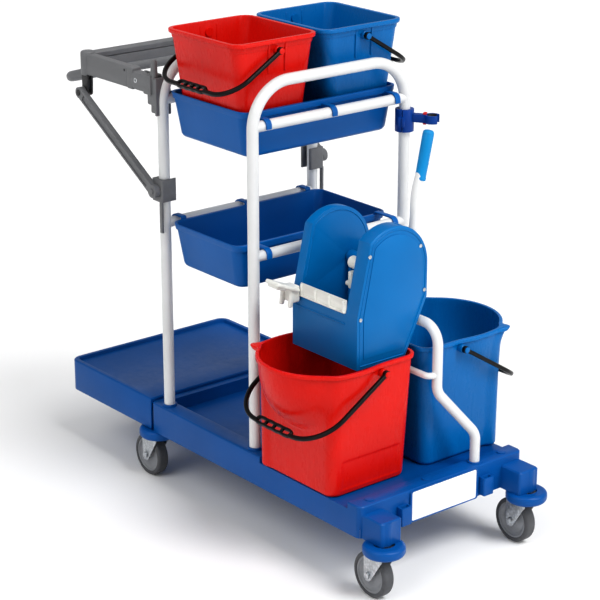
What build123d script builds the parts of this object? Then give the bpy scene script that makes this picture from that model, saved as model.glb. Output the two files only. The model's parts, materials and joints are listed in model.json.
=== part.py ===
from build123d import *
import os
from math import atan2, cos, degrees, hypot, radians, sin, sqrt

# A housekeeping cart: a plastic chassis on four swivel castors carries two
# tube frames with two trays, a fold-down bag holder with push handle, two mop
# buckets under a lever wringer and two small buckets on top.
# Millimetres. +X is the front, +Y the left side, +Z up, Z = 0 is the floor.
# X = 0 below means the plane of the front frame; SHIFT_X moves it to the
# middle of the whole cart when the pieces are written.

# ---- fits ---------------------------------------------------------------
RUN = 0.05             # radial clearance of a pin that turns in its hole
SEAT = 0.05            # radial clearance of a tube seated in a socket
FACE = 0.5             # clearance between faces that pass each other
WALL = 3.0             # wall of the moulded trays and buckets

# ---- wheels -------------------------------------------------------------
WHEEL_R = 50.0
TYRE_W = 27.0
TYRE_T = 9.0
TRAIL = 30.0
FORK_T = 2.5
AXLE_R = 4.0
STEM_R = 6.0
STEM_BOSS_R = 16.5
HEAD_R = 20.0
RING_R = 45.0          # outer radius of the bumper ring
RING_T = 11.0          # radius of its round section

# ---- chassis ------------------------------------------------------------
HALF_W = 232.8
X_FRONT = 374.3
X_JOIN = -361.8        # rear end of the chassis, front end of the platform
X_TAIL = -699.2        # rear end of the platform
Z_BASE = 129.0
Z_TOP = 200.0
Z_BAY = 170.0          # floor of the bay between the frames
Z_BUCKET = 186.0       # floor of the bucket bay
SHELL = 4.0
STRIP_X = 335.0        # front strip starts here
MID_X0 = -22.0         # cross strip below the front frame
MID_X1 = 44.0
BAY_HALF = 192.0
SWIVEL_XF = 418.0
SWIVEL_XR = -372.0
SWIVEL_Y = 205.0
BLOCK_TOP = 182.0
Z_PLAT = 207.5
Z_PLAT_BASE = 132.0
Z_PLAT_FLOOR = 199.0
PLAT_RIM = 12.0
PLAT_STRIP = 84.0      # flat strip between the shelf's recess and the chassis

# ---- tube frames --------------------------------------------------------
TUBE_R = 12.5
TUBE_T = 1.6
POST_Y = 210.6
POST_XR = -317.0
FRAME_TOP = 1005.0
FRAME_BEND = 95.0
POST_FOOT = 150.0
RAIL_R = 11.7
RAIL_HI = 916.6
RAIL_LO = 636.5

# ---- trays --------------------------------------------------------------
TRAY_HALF_TOP = 213.0
TRAY_HALF_BOT = 196.0
TRAY_DEPTH = 101.0
UP_RIM = 941.0
UP_X0 = -290.0
UP_X1 = -28.0
LO_RIM = 645.0
LO_X0 = -290.0
LO_X1 = -56.0
TRAY_LIP = 14.0
HOOK_W = 12.0
HOOK_T = 4.0
HOOK_YS = (-178.0, 0.0, 178.0)

# ---- small buckets ------------------------------------------------------
SB_X = -153.0
SB_Y = 119.0
SB_Z0 = UP_RIM - TRAY_DEPTH + WALL + 0.2
SB_Z1 = 1085.0
SB_LX0 = 222.0
SB_LY0 = 144.0
SB_LX1 = 240.0
SB_LY1 = 216.0
SB_RIM = 7.0
SB_CORNER = 24.0
SB_PIVOT_DROP = 24.0
SB_BAIL_L = 158.0
SB_BAIL_TILT = 31.0
PIVOT_R = 4.0

# ---- mop buckets --------------------------------------------------------
MB_X = 172.0
MB_Y0 = 26.0           # inner wall at the bottom, from the centre plane
MB_Y1 = 234.0          # outer wall at the bottom
MB_Z1 = 463.0
MB_LX0 = 228.0
MB_LX1 = 250.0
MB_CORNER = 24.0
MB_TOP_Y0 = 12.0
MB_TOP_Y1 = 240.0
MB_BULGE_R = 131.0
MB_BULGE_Y = 170.0
MB_BULGE_Z = 306.0
MB_RIM = 5.0
MB_PIVOT_Y = 112.0
MB_PIVOT_DROP = 19.0
MB_BAIL_L = 218.0
MB_BAIL_TILT = 32.0

# ---- wringer ------------------------------------------------------------
WR_X0 = 68.0
WR_X1 = 276.0
WR_WALL_A = 24.0       # rear end housing
WR_WALL_B = 36.0       # front end housing with the lever
WR_Y0 = -160.0
WR_Y1 = 33.0
WR_Z0 = 451.0
WR_YB = -28.0          # far wall at the bottom
WR_ZK = 577.0          # knee of the far wall
WR_ZN = 566.0          # top of the low near wall
WR_ARCH_Y = -62.0
WR_ARCH_R = 95.0
WR_ARCH_Z = 646.0
PIV_Y = -22.0
PIV_Z = 625.0
SHAFT_R = 8.0
LEVER_R = 9.5
LEVER_L = 305.0
LEVER_LEAN = 12.5
GRIP_R = 12.0
GRIP_L = 105.0
ST_R = 11.0            # support tube of the wringer
ST_Y = 24.0
ST_Z = 517.0
ST_XF = 321.0
ST_XR = 21.0
ST_FOOT_X = 353.0
ST_FOOT_Y = 109.0
BRACE_R = 7.0
BRACE_Z = 412.0

# ---- bag holder ---------------------------------------------------------
ARM_H = 50.0
ARM_Y0 = 206.0
ARM_Y1 = 230.0
FOLD_X = -385.0
FOLD_Z = 950.0
BAR_X = -598.0
BAR_W = 26.0
BAR_H = 38.0
GRAB_X = -700.0
GRAB_Z = 897.0
GRAB_R = 12.0
GRAB_Y = 193.0
STRUT_Y0 = 232.0
STRUT_Y1 = 246.0
STRUT_W = 22.0
STRUT_TOP = (-597.0, 885.0)
CLAMP_Z = 715.0
CLAMP_H = 50.0
HOLE_R = 4.0

# ---- clip ---------------------------------------------------------------
CLIP_Z = 867.0
CLIP_H = 50.0
CLIP_R = 21.0
JAW = (52.0, 245.0)
JAW_R = 17.0

SHIFT_X = -(GRAB_X - GRAB_R + SWIVEL_XF + RING_R) / 2.0


def block(x0, x1, y0, y1, z0, z1):
    """Box between two corners."""
    size = Box(abs(x1 - x0), abs(y1 - y0), abs(z1 - z0))
    return Pos((x0 + x1) / 2, (y0 + y1) / 2, (z0 + z1) / 2) * size


def soft_block(x0, x1, y0, y1, z0, z1, r, axis=Axis.Z):
    """Box with the edges along one axis rounded."""
    body = block(x0, x1, y0, y1, z0, z1)
    return fillet(body.edges().filter_by(axis), r)


def rod(x, y, z0, z1, r):
    """Upright cylinder."""
    return Pos(x, y, (z0 + z1) / 2) * Cylinder(r, abs(z1 - z0))


def rod_x(y, z, x0, x1, r):
    """Cylinder along X."""
    return Pos((x0 + x1) / 2, y, z) * Rot(0, 90, 0) * Cylinder(r, abs(x1 - x0))


def rod_y(x, z, y0, y1, r):
    """Cylinder along Y."""
    return Pos(x, (y0 + y1) / 2, z) * Rot(90, 0, 0) * Cylinder(r, abs(y1 - y0))


def bent_path(points, radius):
    """Straight runs through the points, with round bends of one radius."""
    pts = [Vector(*p) for p in points]
    edges = []
    here = pts[0]
    for a, b, c in zip(pts, pts[1:], pts[2:]):
        u = (a - b).normalized()
        v = (c - b).normalized()
        half = radians(u.get_angle(v)) / 2
        reach = radius * cos(half) / sin(half)
        p = b + u * reach
        q = b + v * reach
        mid = b + (u + v).normalized() * (radius / sin(half) - radius)
        edges.append(Line(here, p))
        edges.append(ThreePointArc(p, mid, q))
        here = q
    edges.append(Line(here, pts[-1]))
    return Wire([e.edge() if not isinstance(e, Edge) else e for e in edges])


def swept(path, section):
    """A section carried along a path that starts square to it."""
    plane = Plane(origin=path @ 0, z_dir=path % 0)
    return sweep(plane * section, path)


def tube(points, radius, r_out, r_in=0.0):
    """Bent round tube, hollow where an inner radius is given."""
    path = bent_path(points, radius)
    body = swept(path, Circle(r_out))
    if r_in > 0:
        body -= swept(path, Circle(r_in))
    return body


def tapered(cx, cy, z0, z1, lx0, ly0, lx1, ly1, r0, r1):
    """Upright tapered block with round corners."""
    low = Pos(cx, cy, z0) * RectangleRounded(lx0, ly0, r0)
    high = Pos(cx, cy, z1) * RectangleRounded(lx1, ly1, r1)
    return loft([low.face(), high.face()])


def prism_x(points, x0, x1):
    """Outline in the YZ plane carried along X."""
    wire = Polyline(*[(x0, y, z) for y, z in points], close=True)
    return extrude(make_face(wire), amount=x1 - x0, dir=(1, 0, 0))


def prism_y(points, y0, y1):
    """Outline in the XZ plane carried along Y."""
    wire = Polyline(*[(x, y0, z) for x, z in points], close=True)
    return extrude(make_face(wire), amount=y1 - y0, dir=(0, 1, 0))


def both(shape):
    """The piece and its mirror image on the other side."""
    return [shape, mirror(shape, Plane.XZ)]


def solids_of(items):
    """Flat list of the solids of several shapes."""
    out = []
    for item in items:
        out.extend(item.solids())
    return out


# ---- chassis ------------------------------------------------------------
def chassis():
    """Moulded base with bays, sockets for the tubes and castor blocks."""
    body = soft_block(X_JOIN, X_FRONT, -HALF_W, HALF_W, Z_BASE, Z_TOP, 14.0)
    body = chamfer(body.faces().sort_by(Axis.Z)[-1].edges(), 2.5)
    body -= block(MID_X1, STRIP_X, -HALF_W - 1, HALF_W + 1, Z_BUCKET, Z_TOP + 1)
    inner = HALF_W - SHELL
    tub = block(X_JOIN + 18, MID_X0 + SHELL, -BAY_HALF - SHELL, BAY_HALF + SHELL,
                Z_BAY - SHELL, Z_TOP)
    under = block(X_JOIN + SHELL, MID_X0, -inner, inner, Z_BASE - 1, Z_TOP - SHELL)
    body -= under - tub
    body -= block(MID_X0 + SHELL, MID_X1 - SHELL, -inner, inner, Z_BASE - 1, Z_TOP - SHELL)
    body -= block(MID_X1, STRIP_X, -inner, inner, Z_BASE - 1, Z_BUCKET - SHELL)
    body -= block(STRIP_X + SHELL, X_FRONT - SHELL, -inner, inner, Z_BASE - 1, Z_TOP - SHELL)
    body -= soft_block(X_JOIN + 22, MID_X0, -BAY_HALF, BAY_HALF, Z_BAY, Z_TOP + 1, 16.0)
    for rib_y in (-120.0, 0.0, 120.0):
        body += block(MID_X1 - SHELL, STRIP_X + SHELL, rib_y - 2, rib_y + 2,
                      Z_BASE + 8, Z_BUCKET - SHELL + 0.5)
        body += block(X_JOIN + 2, MID_X0, rib_y - 2, rib_y + 2, Z_BASE + 8, Z_BAY - SHELL + 0.5)
    for px in (POST_XR, 0.0):
        for py in (-POST_Y, POST_Y):
            body += rod(px, py, POST_FOOT - 6, Z_TOP - 1, TUBE_R + 5)
            body += rod(px, py, Z_TOP - 1, Z_TOP + 5, TUBE_R + 4)
    for sx, sy in ((ST_FOOT_X, ST_FOOT_Y), (ST_XR, ST_Y)):
        body += rod(sx, sy, POST_FOOT - 6, Z_TOP + 3, ST_R + 4.5)
    for bx, by in ((354.0, -190.0), (354.0, -31.0), (354.0, 188.0)):
        body += rod(bx, by, Z_TOP - 1, Z_TOP + 2, 10.0)
    for sgn in (-1, 1):
        y_a = sgn * (SWIVEL_Y - 36)
        y_b = sgn * (SWIVEL_Y + 20)
        nose = soft_block(X_FRONT - 10, SWIVEL_XF + 14, y_a, y_b, Z_BASE, BLOCK_TOP, 6.0)
        nose = chamfer(nose.faces().sort_by(Axis.Z)[-1].edges(), 3.0)
        nose -= block(X_FRONT - 6, SWIVEL_XF + 9, y_a + sgn * 5, y_b - sgn * 5,
                      Z_BASE - 1, BLOCK_TOP - 6)
        heel = block(SWIVEL_XR - 30, X_JOIN + 10, y_a, y_b, Z_BASE, BLOCK_TOP)
        heel -= block(SWIVEL_XR - 25, X_JOIN + 4, y_a + sgn * 5, y_b - sgn * 5,
                      Z_BASE - 1, BLOCK_TOP - 6)
        body += nose
        body += heel
        for cx in (SWIVEL_XF, SWIVEL_XR):
            body += rod(cx, sgn * SWIVEL_Y, Z_BASE, BLOCK_TOP - 2, STEM_BOSS_R)
            body -= rod(cx, sgn * SWIVEL_Y, Z_BASE - 1, Z_BASE + 41, STEM_R + RUN)
    for px in (POST_XR, 0.0):
        for py in (-POST_Y, POST_Y):
            body -= rod(px, py, POST_FOOT, Z_TOP + 8, TUBE_R + SEAT)
    for sx, sy in ((ST_FOOT_X, ST_FOOT_Y), (ST_XR, ST_Y)):
        body -= rod(sx, sy, POST_FOOT, Z_TOP + 8, ST_R + SEAT)
    border = soft_block(X_FRONT - 1, X_FRONT + 4, -97, 97, 127.0, 198.0, 6.0, Axis.X)
    border -= soft_block(X_FRONT + 2, X_FRONT + 6, -92, 92, 129.5, 195.5, 4.0, Axis.X)
    body += border
    for pocket in front_sockets():
        body += pocket
    return body


def rear_platform():
    """Hollow shelf behind the chassis, with a raised rim."""
    body = block(X_TAIL, X_JOIN, -HALF_W, HALF_W, Z_PLAT_BASE, Z_PLAT)
    tail = body.edges().filter_by(Axis.Z).group_by(Axis.X)[0]
    body = fillet(tail, 26.0)
    body = chamfer(body.faces().sort_by(Axis.Z)[-1].edges(), 2.5)
    x_rim = X_JOIN - PLAT_STRIP
    body -= soft_block(X_TAIL + PLAT_RIM, x_rim, -HALF_W + PLAT_RIM, HALF_W - PLAT_RIM,
                       Z_PLAT_FLOOR, Z_PLAT + 1, 14.0)
    body -= soft_block(X_TAIL + SHELL, X_JOIN + 20, -HALF_W + SHELL, HALF_W - SHELL,
                       Z_PLAT_BASE - 1, Z_PLAT_FLOOR - SHELL, 22.0)
    return body


def label_plate():
    """Blank plate on the front face."""
    return soft_block(X_FRONT + 2, X_FRONT + 3.6, -91.7, 91.7, 129.8, 195.2, 3.7, Axis.X)


def front_sockets():
    """Two accessory sockets beside the plate."""
    out = []
    for sgn in (-1, 1):
        y0 = sgn * 104.0
        y1 = sgn * 132.0
        pocket = soft_block(X_FRONT - 1, X_FRONT + 17, y0, y1, 133, 173, 3.0, Axis.Z)
        pocket -= block(X_FRONT + 4, X_FRONT + 13, y0 + sgn * 4, y1 - sgn * 4, 138, 174)
        out.append(pocket)
    return out


def bumper_rings():
    """Round bumpers above the castors."""
    out = []
    for cx in (SWIVEL_XF, SWIVEL_XR):
        for cy in (-SWIVEL_Y, SWIVEL_Y):
            mid = Z_BASE - RING_T - 2
            ring = Pos(cx, cy, mid) * Torus(RING_R - RING_T, RING_T)
            neck = rod(cx, cy, mid, Z_BASE, RING_R - 9)
            hole = rod(cx, cy, mid - 20, Z_BASE + 5, HEAD_R + 2.5)
            out.append(ring + neck - hole)
    return out


# ---- castors ------------------------------------------------------------
def castor_fork(cx, cy):
    """Swivel fork with head and stem."""
    half = TYRE_W / 2 + 2
    wx = cx - TRAIL
    z_crown = 2 * WHEEL_R + 1.2
    body = rod(cx, cy, z_crown, Z_BASE - 3, HEAD_R)
    body += rod(cx, cy, Z_BASE - 4, Z_BASE + 40, STEM_R)
    body += soft_block(wx - 12, cx + HEAD_R - 1, cy - half - FORK_T, cy + half + FORK_T,
                       z_crown, z_crown + 3, 8.0)
    for sgn in (-1, 1):
        y0 = cy + sgn * half
        y1 = cy + sgn * (half + FORK_T)
        leg = prism_y([(wx - 12, z_crown + 3), (cx + 14, z_crown + 3), (cx + 12, z_crown - 8),
                       (wx + 11, WHEEL_R - 6), (wx + 5, WHEEL_R - 12),
                       (wx - 6, WHEEL_R - 12), (wx - 11, WHEEL_R - 2)], min(y0, y1), max(y0, y1))
        body += leg
        body -= rod_y(wx, WHEEL_R, y0 - sgn, y1 + sgn, AXLE_R + 0.02)
    return body


def castor_axle(cx, cy):
    """Axle bolt with head and nut."""
    reach = TYRE_W / 2 + 2 + FORK_T
    wx = cx - TRAIL
    body = rod_y(wx, WHEEL_R, cy - reach, cy + reach, AXLE_R)
    body += rod_y(wx, WHEEL_R, cy - reach - 3.5, cy - reach, 7.0)
    nut = Pos(wx, cy + reach + 2, WHEEL_R) * Rot(90, 0, 0)
    body += nut * extrude(RegularPolygon(7.0, 6), amount=2, both=True)
    return body


def wheel_rim(cx, cy):
    """Wheel centre with a hub bore."""
    wx = cx - TRAIL
    r = WHEEL_R - TYRE_T
    body = rod_y(wx, WHEEL_R, cy - TYRE_W / 2 + 3, cy + TYRE_W / 2 - 3, r)
    for sgn in (-1, 1):
        body -= rod_y(wx, WHEEL_R, cy + sgn * 6, cy + sgn * TYRE_W, r - 5)
        body += rod_y(wx, WHEEL_R, cy + sgn * 5, cy + sgn * (TYRE_W / 2 + 1.5), 11.0)
    body -= rod_y(wx, WHEEL_R, cy - TYRE_W, cy + TYRE_W, AXLE_R + RUN)
    return body


def wheel_tyre(cx, cy):
    """Tread ring of the wheel."""
    wx = cx - TRAIL
    body = rod_y(wx, WHEEL_R, cy - TYRE_W / 2, cy + TYRE_W / 2, WHEEL_R)
    body = fillet(body.edges(), 5.0)
    body -= rod_y(wx, WHEEL_R, cy - TYRE_W, cy + TYRE_W, WHEEL_R - TYRE_T)
    return body


# ---- frames -------------------------------------------------------------
def frame_path(px):
    """Centre line of an upturned U."""
    return [(px, -POST_Y, POST_FOOT), (px, -POST_Y, FRAME_TOP),
            (px, POST_Y, FRAME_TOP), (px, POST_Y, POST_FOOT)]


def tube_frame(px):
    """Upturned U of round tube."""
    return tube(frame_path(px), FRAME_BEND, TUBE_R, TUBE_R - TUBE_T)


def cross_rails(px):
    """Two rails between the posts of one frame."""
    out = []
    reach = POST_Y - sqrt(TUBE_R ** 2 - RAIL_R ** 2) - 0.02
    for z in (RAIL_LO, RAIL_HI):
        shift = max(0.0, z - (FRAME_TOP - FRAME_BEND))
        inset = FRAME_BEND - sqrt(FRAME_BEND ** 2 - shift ** 2)
        rail = rod_y(px, z, -reach + inset, reach - inset, RAIL_R)
        rail -= rod_y(px, z, -reach, reach, RAIL_R - TUBE_T)
        rail -= tube(frame_path(px), FRAME_BEND, TUBE_R + 0.02)
        out.append(rail)
    return out


# ---- trays --------------------------------------------------------------
def hook(rail_x, rail_z, wall_x, y, z_root):
    """Hook that runs from a tray wall over a rail."""
    side = 1 if rail_x > wall_x else -1
    r_in = RAIL_R + 0.1
    r_out = r_in + HOOK_T
    body = rod_y(rail_x, rail_z, y - HOOK_W / 2, y + HOOK_W / 2, r_out)
    body += block(wall_x, rail_x, y - HOOK_W / 2, y + HOOK_W / 2,
                  rail_z + r_out - HOOK_T - 3, rail_z + r_out)
    body += block(wall_x, wall_x + side * 8, y - HOOK_W / 2, y + HOOK_W / 2,
                  z_root - 18, rail_z + r_out)
    body -= rod_y(rail_x, rail_z, y - HOOK_W, y + HOOK_W, r_in)
    body -= block(rail_x - side * r_out, rail_x + side * (r_out + 1),
                  y - HOOK_W, y + HOOK_W, rail_z - r_out - 1, rail_z - 7)
    body -= block(rail_x - side * (r_out + 1), rail_x, y - HOOK_W, y + HOOK_W,
                  rail_z - r_out - 1, rail_z + 2)
    return body


def tray(z_rim, x0, x1, rail_z, lip_gap):
    """Open tray with a lip, hooked over the rails."""
    cx = (x0 + x1) / 2
    length = x1 - x0
    z_bot = z_rim - TRAY_DEPTH
    body = tapered(cx, 0, z_bot, z_rim, length - 14, 2 * TRAY_HALF_BOT,
                   length, 2 * TRAY_HALF_TOP, 22, 24)
    lip = tapered(cx, 0, z_rim - TRAY_LIP, z_rim, length + 12, 2 * TRAY_HALF_TOP + 2 * lip_gap,
                  length + 12, 2 * TRAY_HALF_TOP + 2 * lip_gap, 26, 26)
    body += lip
    for y in HOOK_YS:
        body += hook(0.0, rail_z, x1 - 2, y, z_rim)
        body += hook(POST_XR, rail_z, x0 + 2, y, z_rim)
    body -= tapered(cx, 0, z_bot + WALL, z_rim + 0.01, length - 14 - 2 * WALL,
                    2 * TRAY_HALF_BOT - 2 * WALL, length - 2 * WALL,
                    2 * TRAY_HALF_TOP - 2 * WALL, 19, 21)
    body -= tapered(cx, 0, z_rim - 2, z_rim + 60, length - 2 * WALL, 2 * TRAY_HALF_TOP - 2 * WALL,
                    length - 2 * WALL, 2 * TRAY_HALF_TOP - 2 * WALL, 21, 21)
    return body


# ---- buckets ------------------------------------------------------------
def small_bucket():
    """Small rectangular bucket on the right-hand side of the upper tray."""
    body = tapered(SB_X, -SB_Y, SB_Z0, SB_Z1, SB_LX0, SB_LY0, SB_LX1, SB_LY1,
                   SB_CORNER - 3, SB_CORNER)
    rim = tapered(SB_X, -SB_Y, SB_Z1 - 9, SB_Z1, SB_LX1 + 2 * SB_RIM, SB_LY1 + 2 * SB_RIM,
                  SB_LX1 + 2 * SB_RIM, SB_LY1 + 2 * SB_RIM, SB_CORNER + 6, SB_CORNER + 6)
    body += fillet(rim.edges().filter_by(Plane.XY), 2.5)
    zp = SB_Z1 - SB_PIVOT_DROP
    half = small_bail_half()
    wall = SB_LX1 / 2 - 6
    for sgn in (-1, 1):
        a = SB_X + sgn * wall
        body += rod_x(-SB_Y, zp, a, SB_X + sgn * (half - 4.5), 9.0)
        body += rod_x(-SB_Y, zp, a, SB_X + sgn * (half + 4.5), PIVOT_R)
        body += rod_x(-SB_Y, zp, SB_X + sgn * (half + 4.5), SB_X + sgn * (half + 6.5), 6.5)
        for ry in (-22.0, 22.0):
            body += block(a, SB_X + sgn * (wall + 6), -SB_Y + ry - 2, -SB_Y + ry + 2,
                          zp - 46, SB_Z1 - 5)
    over = 9.0
    grow = 1 + over / (SB_Z1 - SB_Z0 - WALL)
    w0 = (SB_LX0 - 2 * WALL, SB_LY0 - 2 * WALL)
    w1 = (w0[0] + (SB_LX1 - SB_LX0) * grow, w0[1] + (SB_LY1 - SB_LY0) * grow)
    body -= tapered(SB_X, -SB_Y, SB_Z0 + WALL, SB_Z1 + over, w0[0], w0[1], w1[0], w1[1],
                    SB_CORNER - 3 - WALL, SB_CORNER - WALL)
    return body


def small_bail_half():
    """Half distance between the legs of the small bail."""
    return SB_LX1 / 2 + SB_RIM + 5.5


def bail(half, length, bend, window):
    """Bail lying in the XY plane: pivots on the X axis, grip at -Y."""
    path = [(half, 0, 0), (half, -length, 0), (-half, -length, 0), (-half, 0, 0)]
    body = swept(bent_path(path, bend), Rectangle(7.0, 9.0))
    body += Pos(0, -length + 3, 0) * Box(window * 4 + 10, 20, 9)
    for i in range(4):
        x = (i - 1.5) * window
        hole = Pos(x, -length + 3, 0) * Box(window - 5, 10, 12)
        body -= fillet(hole.edges().filter_by(Axis.Z), 3.0)
    for sgn in (-1, 1):
        body += rod_x(0, 0, sgn * (half - 3.5), sgn * (half + 3.5), 8.0)
        body -= rod_x(0, 0, sgn * (half - 9), sgn * (half + 9), PIVOT_R + RUN)
    return body


def small_bail():
    """Bail of the right-hand small bucket, hanging outwards."""
    shape = bail(small_bail_half(), SB_BAIL_L, 62.0, 22.0)
    zp = SB_Z1 - SB_PIVOT_DROP
    return Pos(SB_X, -SB_Y, zp) * Rot(SB_BAIL_TILT, 0, 0) * shape


def bulge(inset):
    """Round belly of the mop bucket's outer side, drawn in by inset."""
    r = MB_BULGE_R - inset
    low = MB_BULGE_Z + inset
    rise = MB_Z1 - MB_BULGE_Z
    profile = [(0, low), (r * 0.45, low), (r * 0.80, low + rise * 0.08),
               (r * 0.91, low + rise * 0.25), (r, MB_Z1), (0, MB_Z1)]
    wire = Polyline(*[(x, 0, z) for x, z in profile], close=True)
    body = revolve(make_face(wire), Axis.Z)
    return Pos(MB_X, -MB_BULGE_Y, 0) * body


def mop_body(inset, z0, z1):
    """Outer or inner volume of the mop bucket."""
    y_low = (MB_Y0 + MB_Y1) / 2
    y_top = (MB_TOP_Y0 + MB_TOP_Y1) / 2
    low = Pos(MB_X, -y_low, z0) * RectangleRounded(MB_LX0 - 2 * inset,
                                                   MB_Y1 - MB_Y0 - 2 * inset, MB_CORNER - inset)
    high = Pos(MB_X, -y_top, z1) * RectangleRounded(MB_LX1 - 2 * inset,
                                                    MB_TOP_Y1 - MB_TOP_Y0 - 2 * inset,
                                                    MB_CORNER + 4 - inset)
    return loft([low.face(), high.face()]) + bulge(inset)


def rim_outline(grow):
    """Plan outline of the mop bucket's rim."""
    y_top = (MB_TOP_Y0 + MB_TOP_Y1) / 2
    rect = Pos(MB_X, -y_top) * RectangleRounded(MB_LX1 + 2 * grow,
                                                MB_TOP_Y1 - MB_TOP_Y0 + 2 * grow,
                                                MB_CORNER + 4 + grow)
    ring = Pos(MB_X, -MB_BULGE_Y) * Circle(MB_BULGE_R + grow)
    return rect + ring


def mop_bail_half():
    """Half distance between the legs of the mop bucket's bail."""
    return MB_BULGE_R + MB_RIM + 6.0


def mop_bucket():
    """Right-hand mop bucket with a round belly and a pouring corner."""
    body = mop_body(0.0, Z_BUCKET, MB_Z1)
    body += Pos(0, 0, MB_Z1 - 9) * extrude(rim_outline(MB_RIM), amount=9)
    spout_x = MB_X - MB_LX1 / 2 + 16
    spout_y = -MB_TOP_Y1 + 10
    body += Pos(spout_x, spout_y, MB_Z1 - 20) * Cone(5.0, 28.0, 40)
    body += Pos(MB_X, 0, 0) * block(-70, 70, -MB_TOP_Y0 - 3, -MB_TOP_Y0 - 0.5,
                                    MB_Z1 - 30, MB_Z1 - 8)
    zp = MB_Z1 - MB_PIVOT_DROP
    half = mop_bail_half()
    wall = MB_LX1 / 2 - 8
    for sgn in (-1, 1):
        a = MB_X + sgn * wall
        body += rod_x(-MB_PIVOT_Y, zp, a, MB_X + sgn * (half - 4.5), 9.0)
        body += rod_x(-MB_PIVOT_Y, zp, a, MB_X + sgn * (half + 4.5), PIVOT_R)
        body += rod_x(-MB_PIVOT_Y, zp, MB_X + sgn * (half + 4.5), MB_X + sgn * (half + 6.5), 6.5)
    body -= mop_body(WALL, Z_BUCKET + WALL, MB_Z1 + 0.01)
    body -= Pos(0, 0, MB_Z1 - 4) * extrude(rim_outline(-WALL), amount=30)
    body -= Pos(spout_x, spout_y, MB_Z1 - 16) * Cone(2.0, 25.0, 40)
    core = mop_body(1.3, Z_BUCKET, MB_Z1)
    panel = block(MB_X + 60, MB_X + MB_LX0, -206, -50, Z_BUCKET + 14, Z_BUCKET + 78)
    groove = block(MB_X + 60, MB_X + MB_LX0, -212, -44, Z_BUCKET + 7, Z_BUCKET + 10)
    body -= panel - core
    body -= groove - core
    return body


def mop_bail():
    """Bail of the right-hand mop bucket, hanging outwards."""
    shape = bail(mop_bail_half(), MB_BAIL_L, 84.0, 26.0)
    zp = MB_Z1 - MB_PIVOT_DROP
    return Pos(MB_X, -MB_PIVOT_Y, zp) * Rot(MB_BAIL_TILT, 0, 0) * shape


def turned_mop(shape):
    """The left-hand mop bucket is the same piece turned half round."""
    return Pos(MB_X, 0, 0) * Rot(0, 0, 180) * Pos(-MB_X, 0, 0) * shape


def turned_small(shape):
    """The left-hand small bucket is the same piece turned half round."""
    return Pos(SB_X, 0, 0) * Rot(0, 0, 180) * Pos(-SB_X, 0, 0) * shape


# ---- wringer ------------------------------------------------------------
def wringer_outline(inset=0.0):
    """End view of the wringer: straight sides, arched top, tapered foot."""
    r = WR_ARCH_R - inset
    y0 = WR_Y0 + inset
    y1 = WR_Y1 - inset
    slope = (WR_Y1 - WR_YB) / (WR_ZK - WR_Z0)
    a = Vector(0, y0, WR_Z0 + inset)
    b = Vector(0, y0, WR_ZN)
    c = Vector(0, WR_ARCH_Y - r * cos(radians(48)), WR_ARCH_Z + r * sin(radians(48)))
    top = Vector(0, WR_ARCH_Y, WR_ARCH_Z + r)
    d = Vector(0, y1, WR_ARCH_Z)
    e = Vector(0, y1, WR_ZK)
    f = Vector(0, y1 - slope * (WR_ZK - WR_Z0 - inset), WR_Z0 + inset)
    edges = [Line(a, b), Line(b, c), ThreePointArc(c, top, d), Line(d, e), Line(e, f), Line(f, a)]
    return make_face(Wire([x.edge() for x in edges]))


def wringer_slab(x0, x1, inset=0.0):
    """Slab of the wringer's end view between two X values."""
    return Pos(x0, 0, 0) * extrude(wringer_outline(inset), amount=x1 - x0, dir=(1, 0, 0))


def far_wall_y(z):
    """Y of the outer far wall at a height below the knee."""
    return WR_YB + (WR_Y1 - WR_YB) * (z - WR_Z0) / (WR_ZK - WR_Z0)


def wringer_shell():
    """Two end housings joined by a far wall, a low near wall and a grate."""
    x_in0 = WR_X0 + WR_WALL_A
    x_in1 = WR_X1 - WR_WALL_B
    body = wringer_slab(WR_X0, WR_X1)
    room = wringer_slab(x_in0, x_in1, 4.0)
    mouth = block(x_in0, x_in1, WR_Y0 - 5, WR_Y1 - 6, WR_ZN, WR_ARCH_Z + WR_ARCH_R + 5)
    crown = block(x_in0, x_in1, WR_Y0 - 5, WR_Y1 + 5, WR_ARCH_Z - 4, WR_ARCH_Z + WR_ARCH_R + 5)
    body -= room
    body -= mouth
    body -= crown
    body = fillet(body.edges().filter_by(GeomType.CIRCLE).filter_by(
        lambda e: abs(e.center().X - WR_X1) < 0.1 or abs(e.center().X - WR_X0) < 0.1), 4.0)
    slot = block(x_in1 + 6.5, WR_X1 - 6.5, PIV_Y - 22, WR_Y1 + 5, PIV_Z - 18,
                 WR_ARCH_Z + WR_ARCH_R + 5)
    body -= slot
    body -= block(WR_X0 + 4, x_in0 - 4, WR_Y0 + 14, WR_YB - 4, WR_Z0 - 1, WR_ZN - 14)
    body -= block(x_in1 + 4, WR_X1 - 4, WR_Y0 + 14, WR_YB - 4, WR_Z0 - 1, WR_ZN - 14)
    for i in range(6):
        x = x_in0 + 16 + i * (x_in1 - x_in0 - 32) / 5
        body -= block(x - 5, x + 5, WR_Y0 + 16, WR_YB - 14, WR_Z0 - 1, WR_Z0 + 6)
    body -= rod_x(PIV_Y, PIV_Z, WR_X0 + 10, WR_X1 - 6.5, SHAFT_R + RUN)
    for hx in (WR_X0 + 40, WR_X1 - 60):
        hook_body = block(hx - 9, hx + 9, far_wall_y(ST_Z + 6) - 8, ST_Y + ST_R + 4,
                          ST_Z - 4, ST_Z + ST_R + 5)
        hook_body -= rod_x(ST_Y, ST_Z, hx - 12, hx + 12, ST_R + 0.3)
        hook_body -= block(hx - 12, hx + 12, ST_Y - ST_R - 0.3, ST_Y + ST_R + 0.3,
                           ST_Z - 30, ST_Z)
        body += hook_body
    return body + selector_ears()


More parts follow.
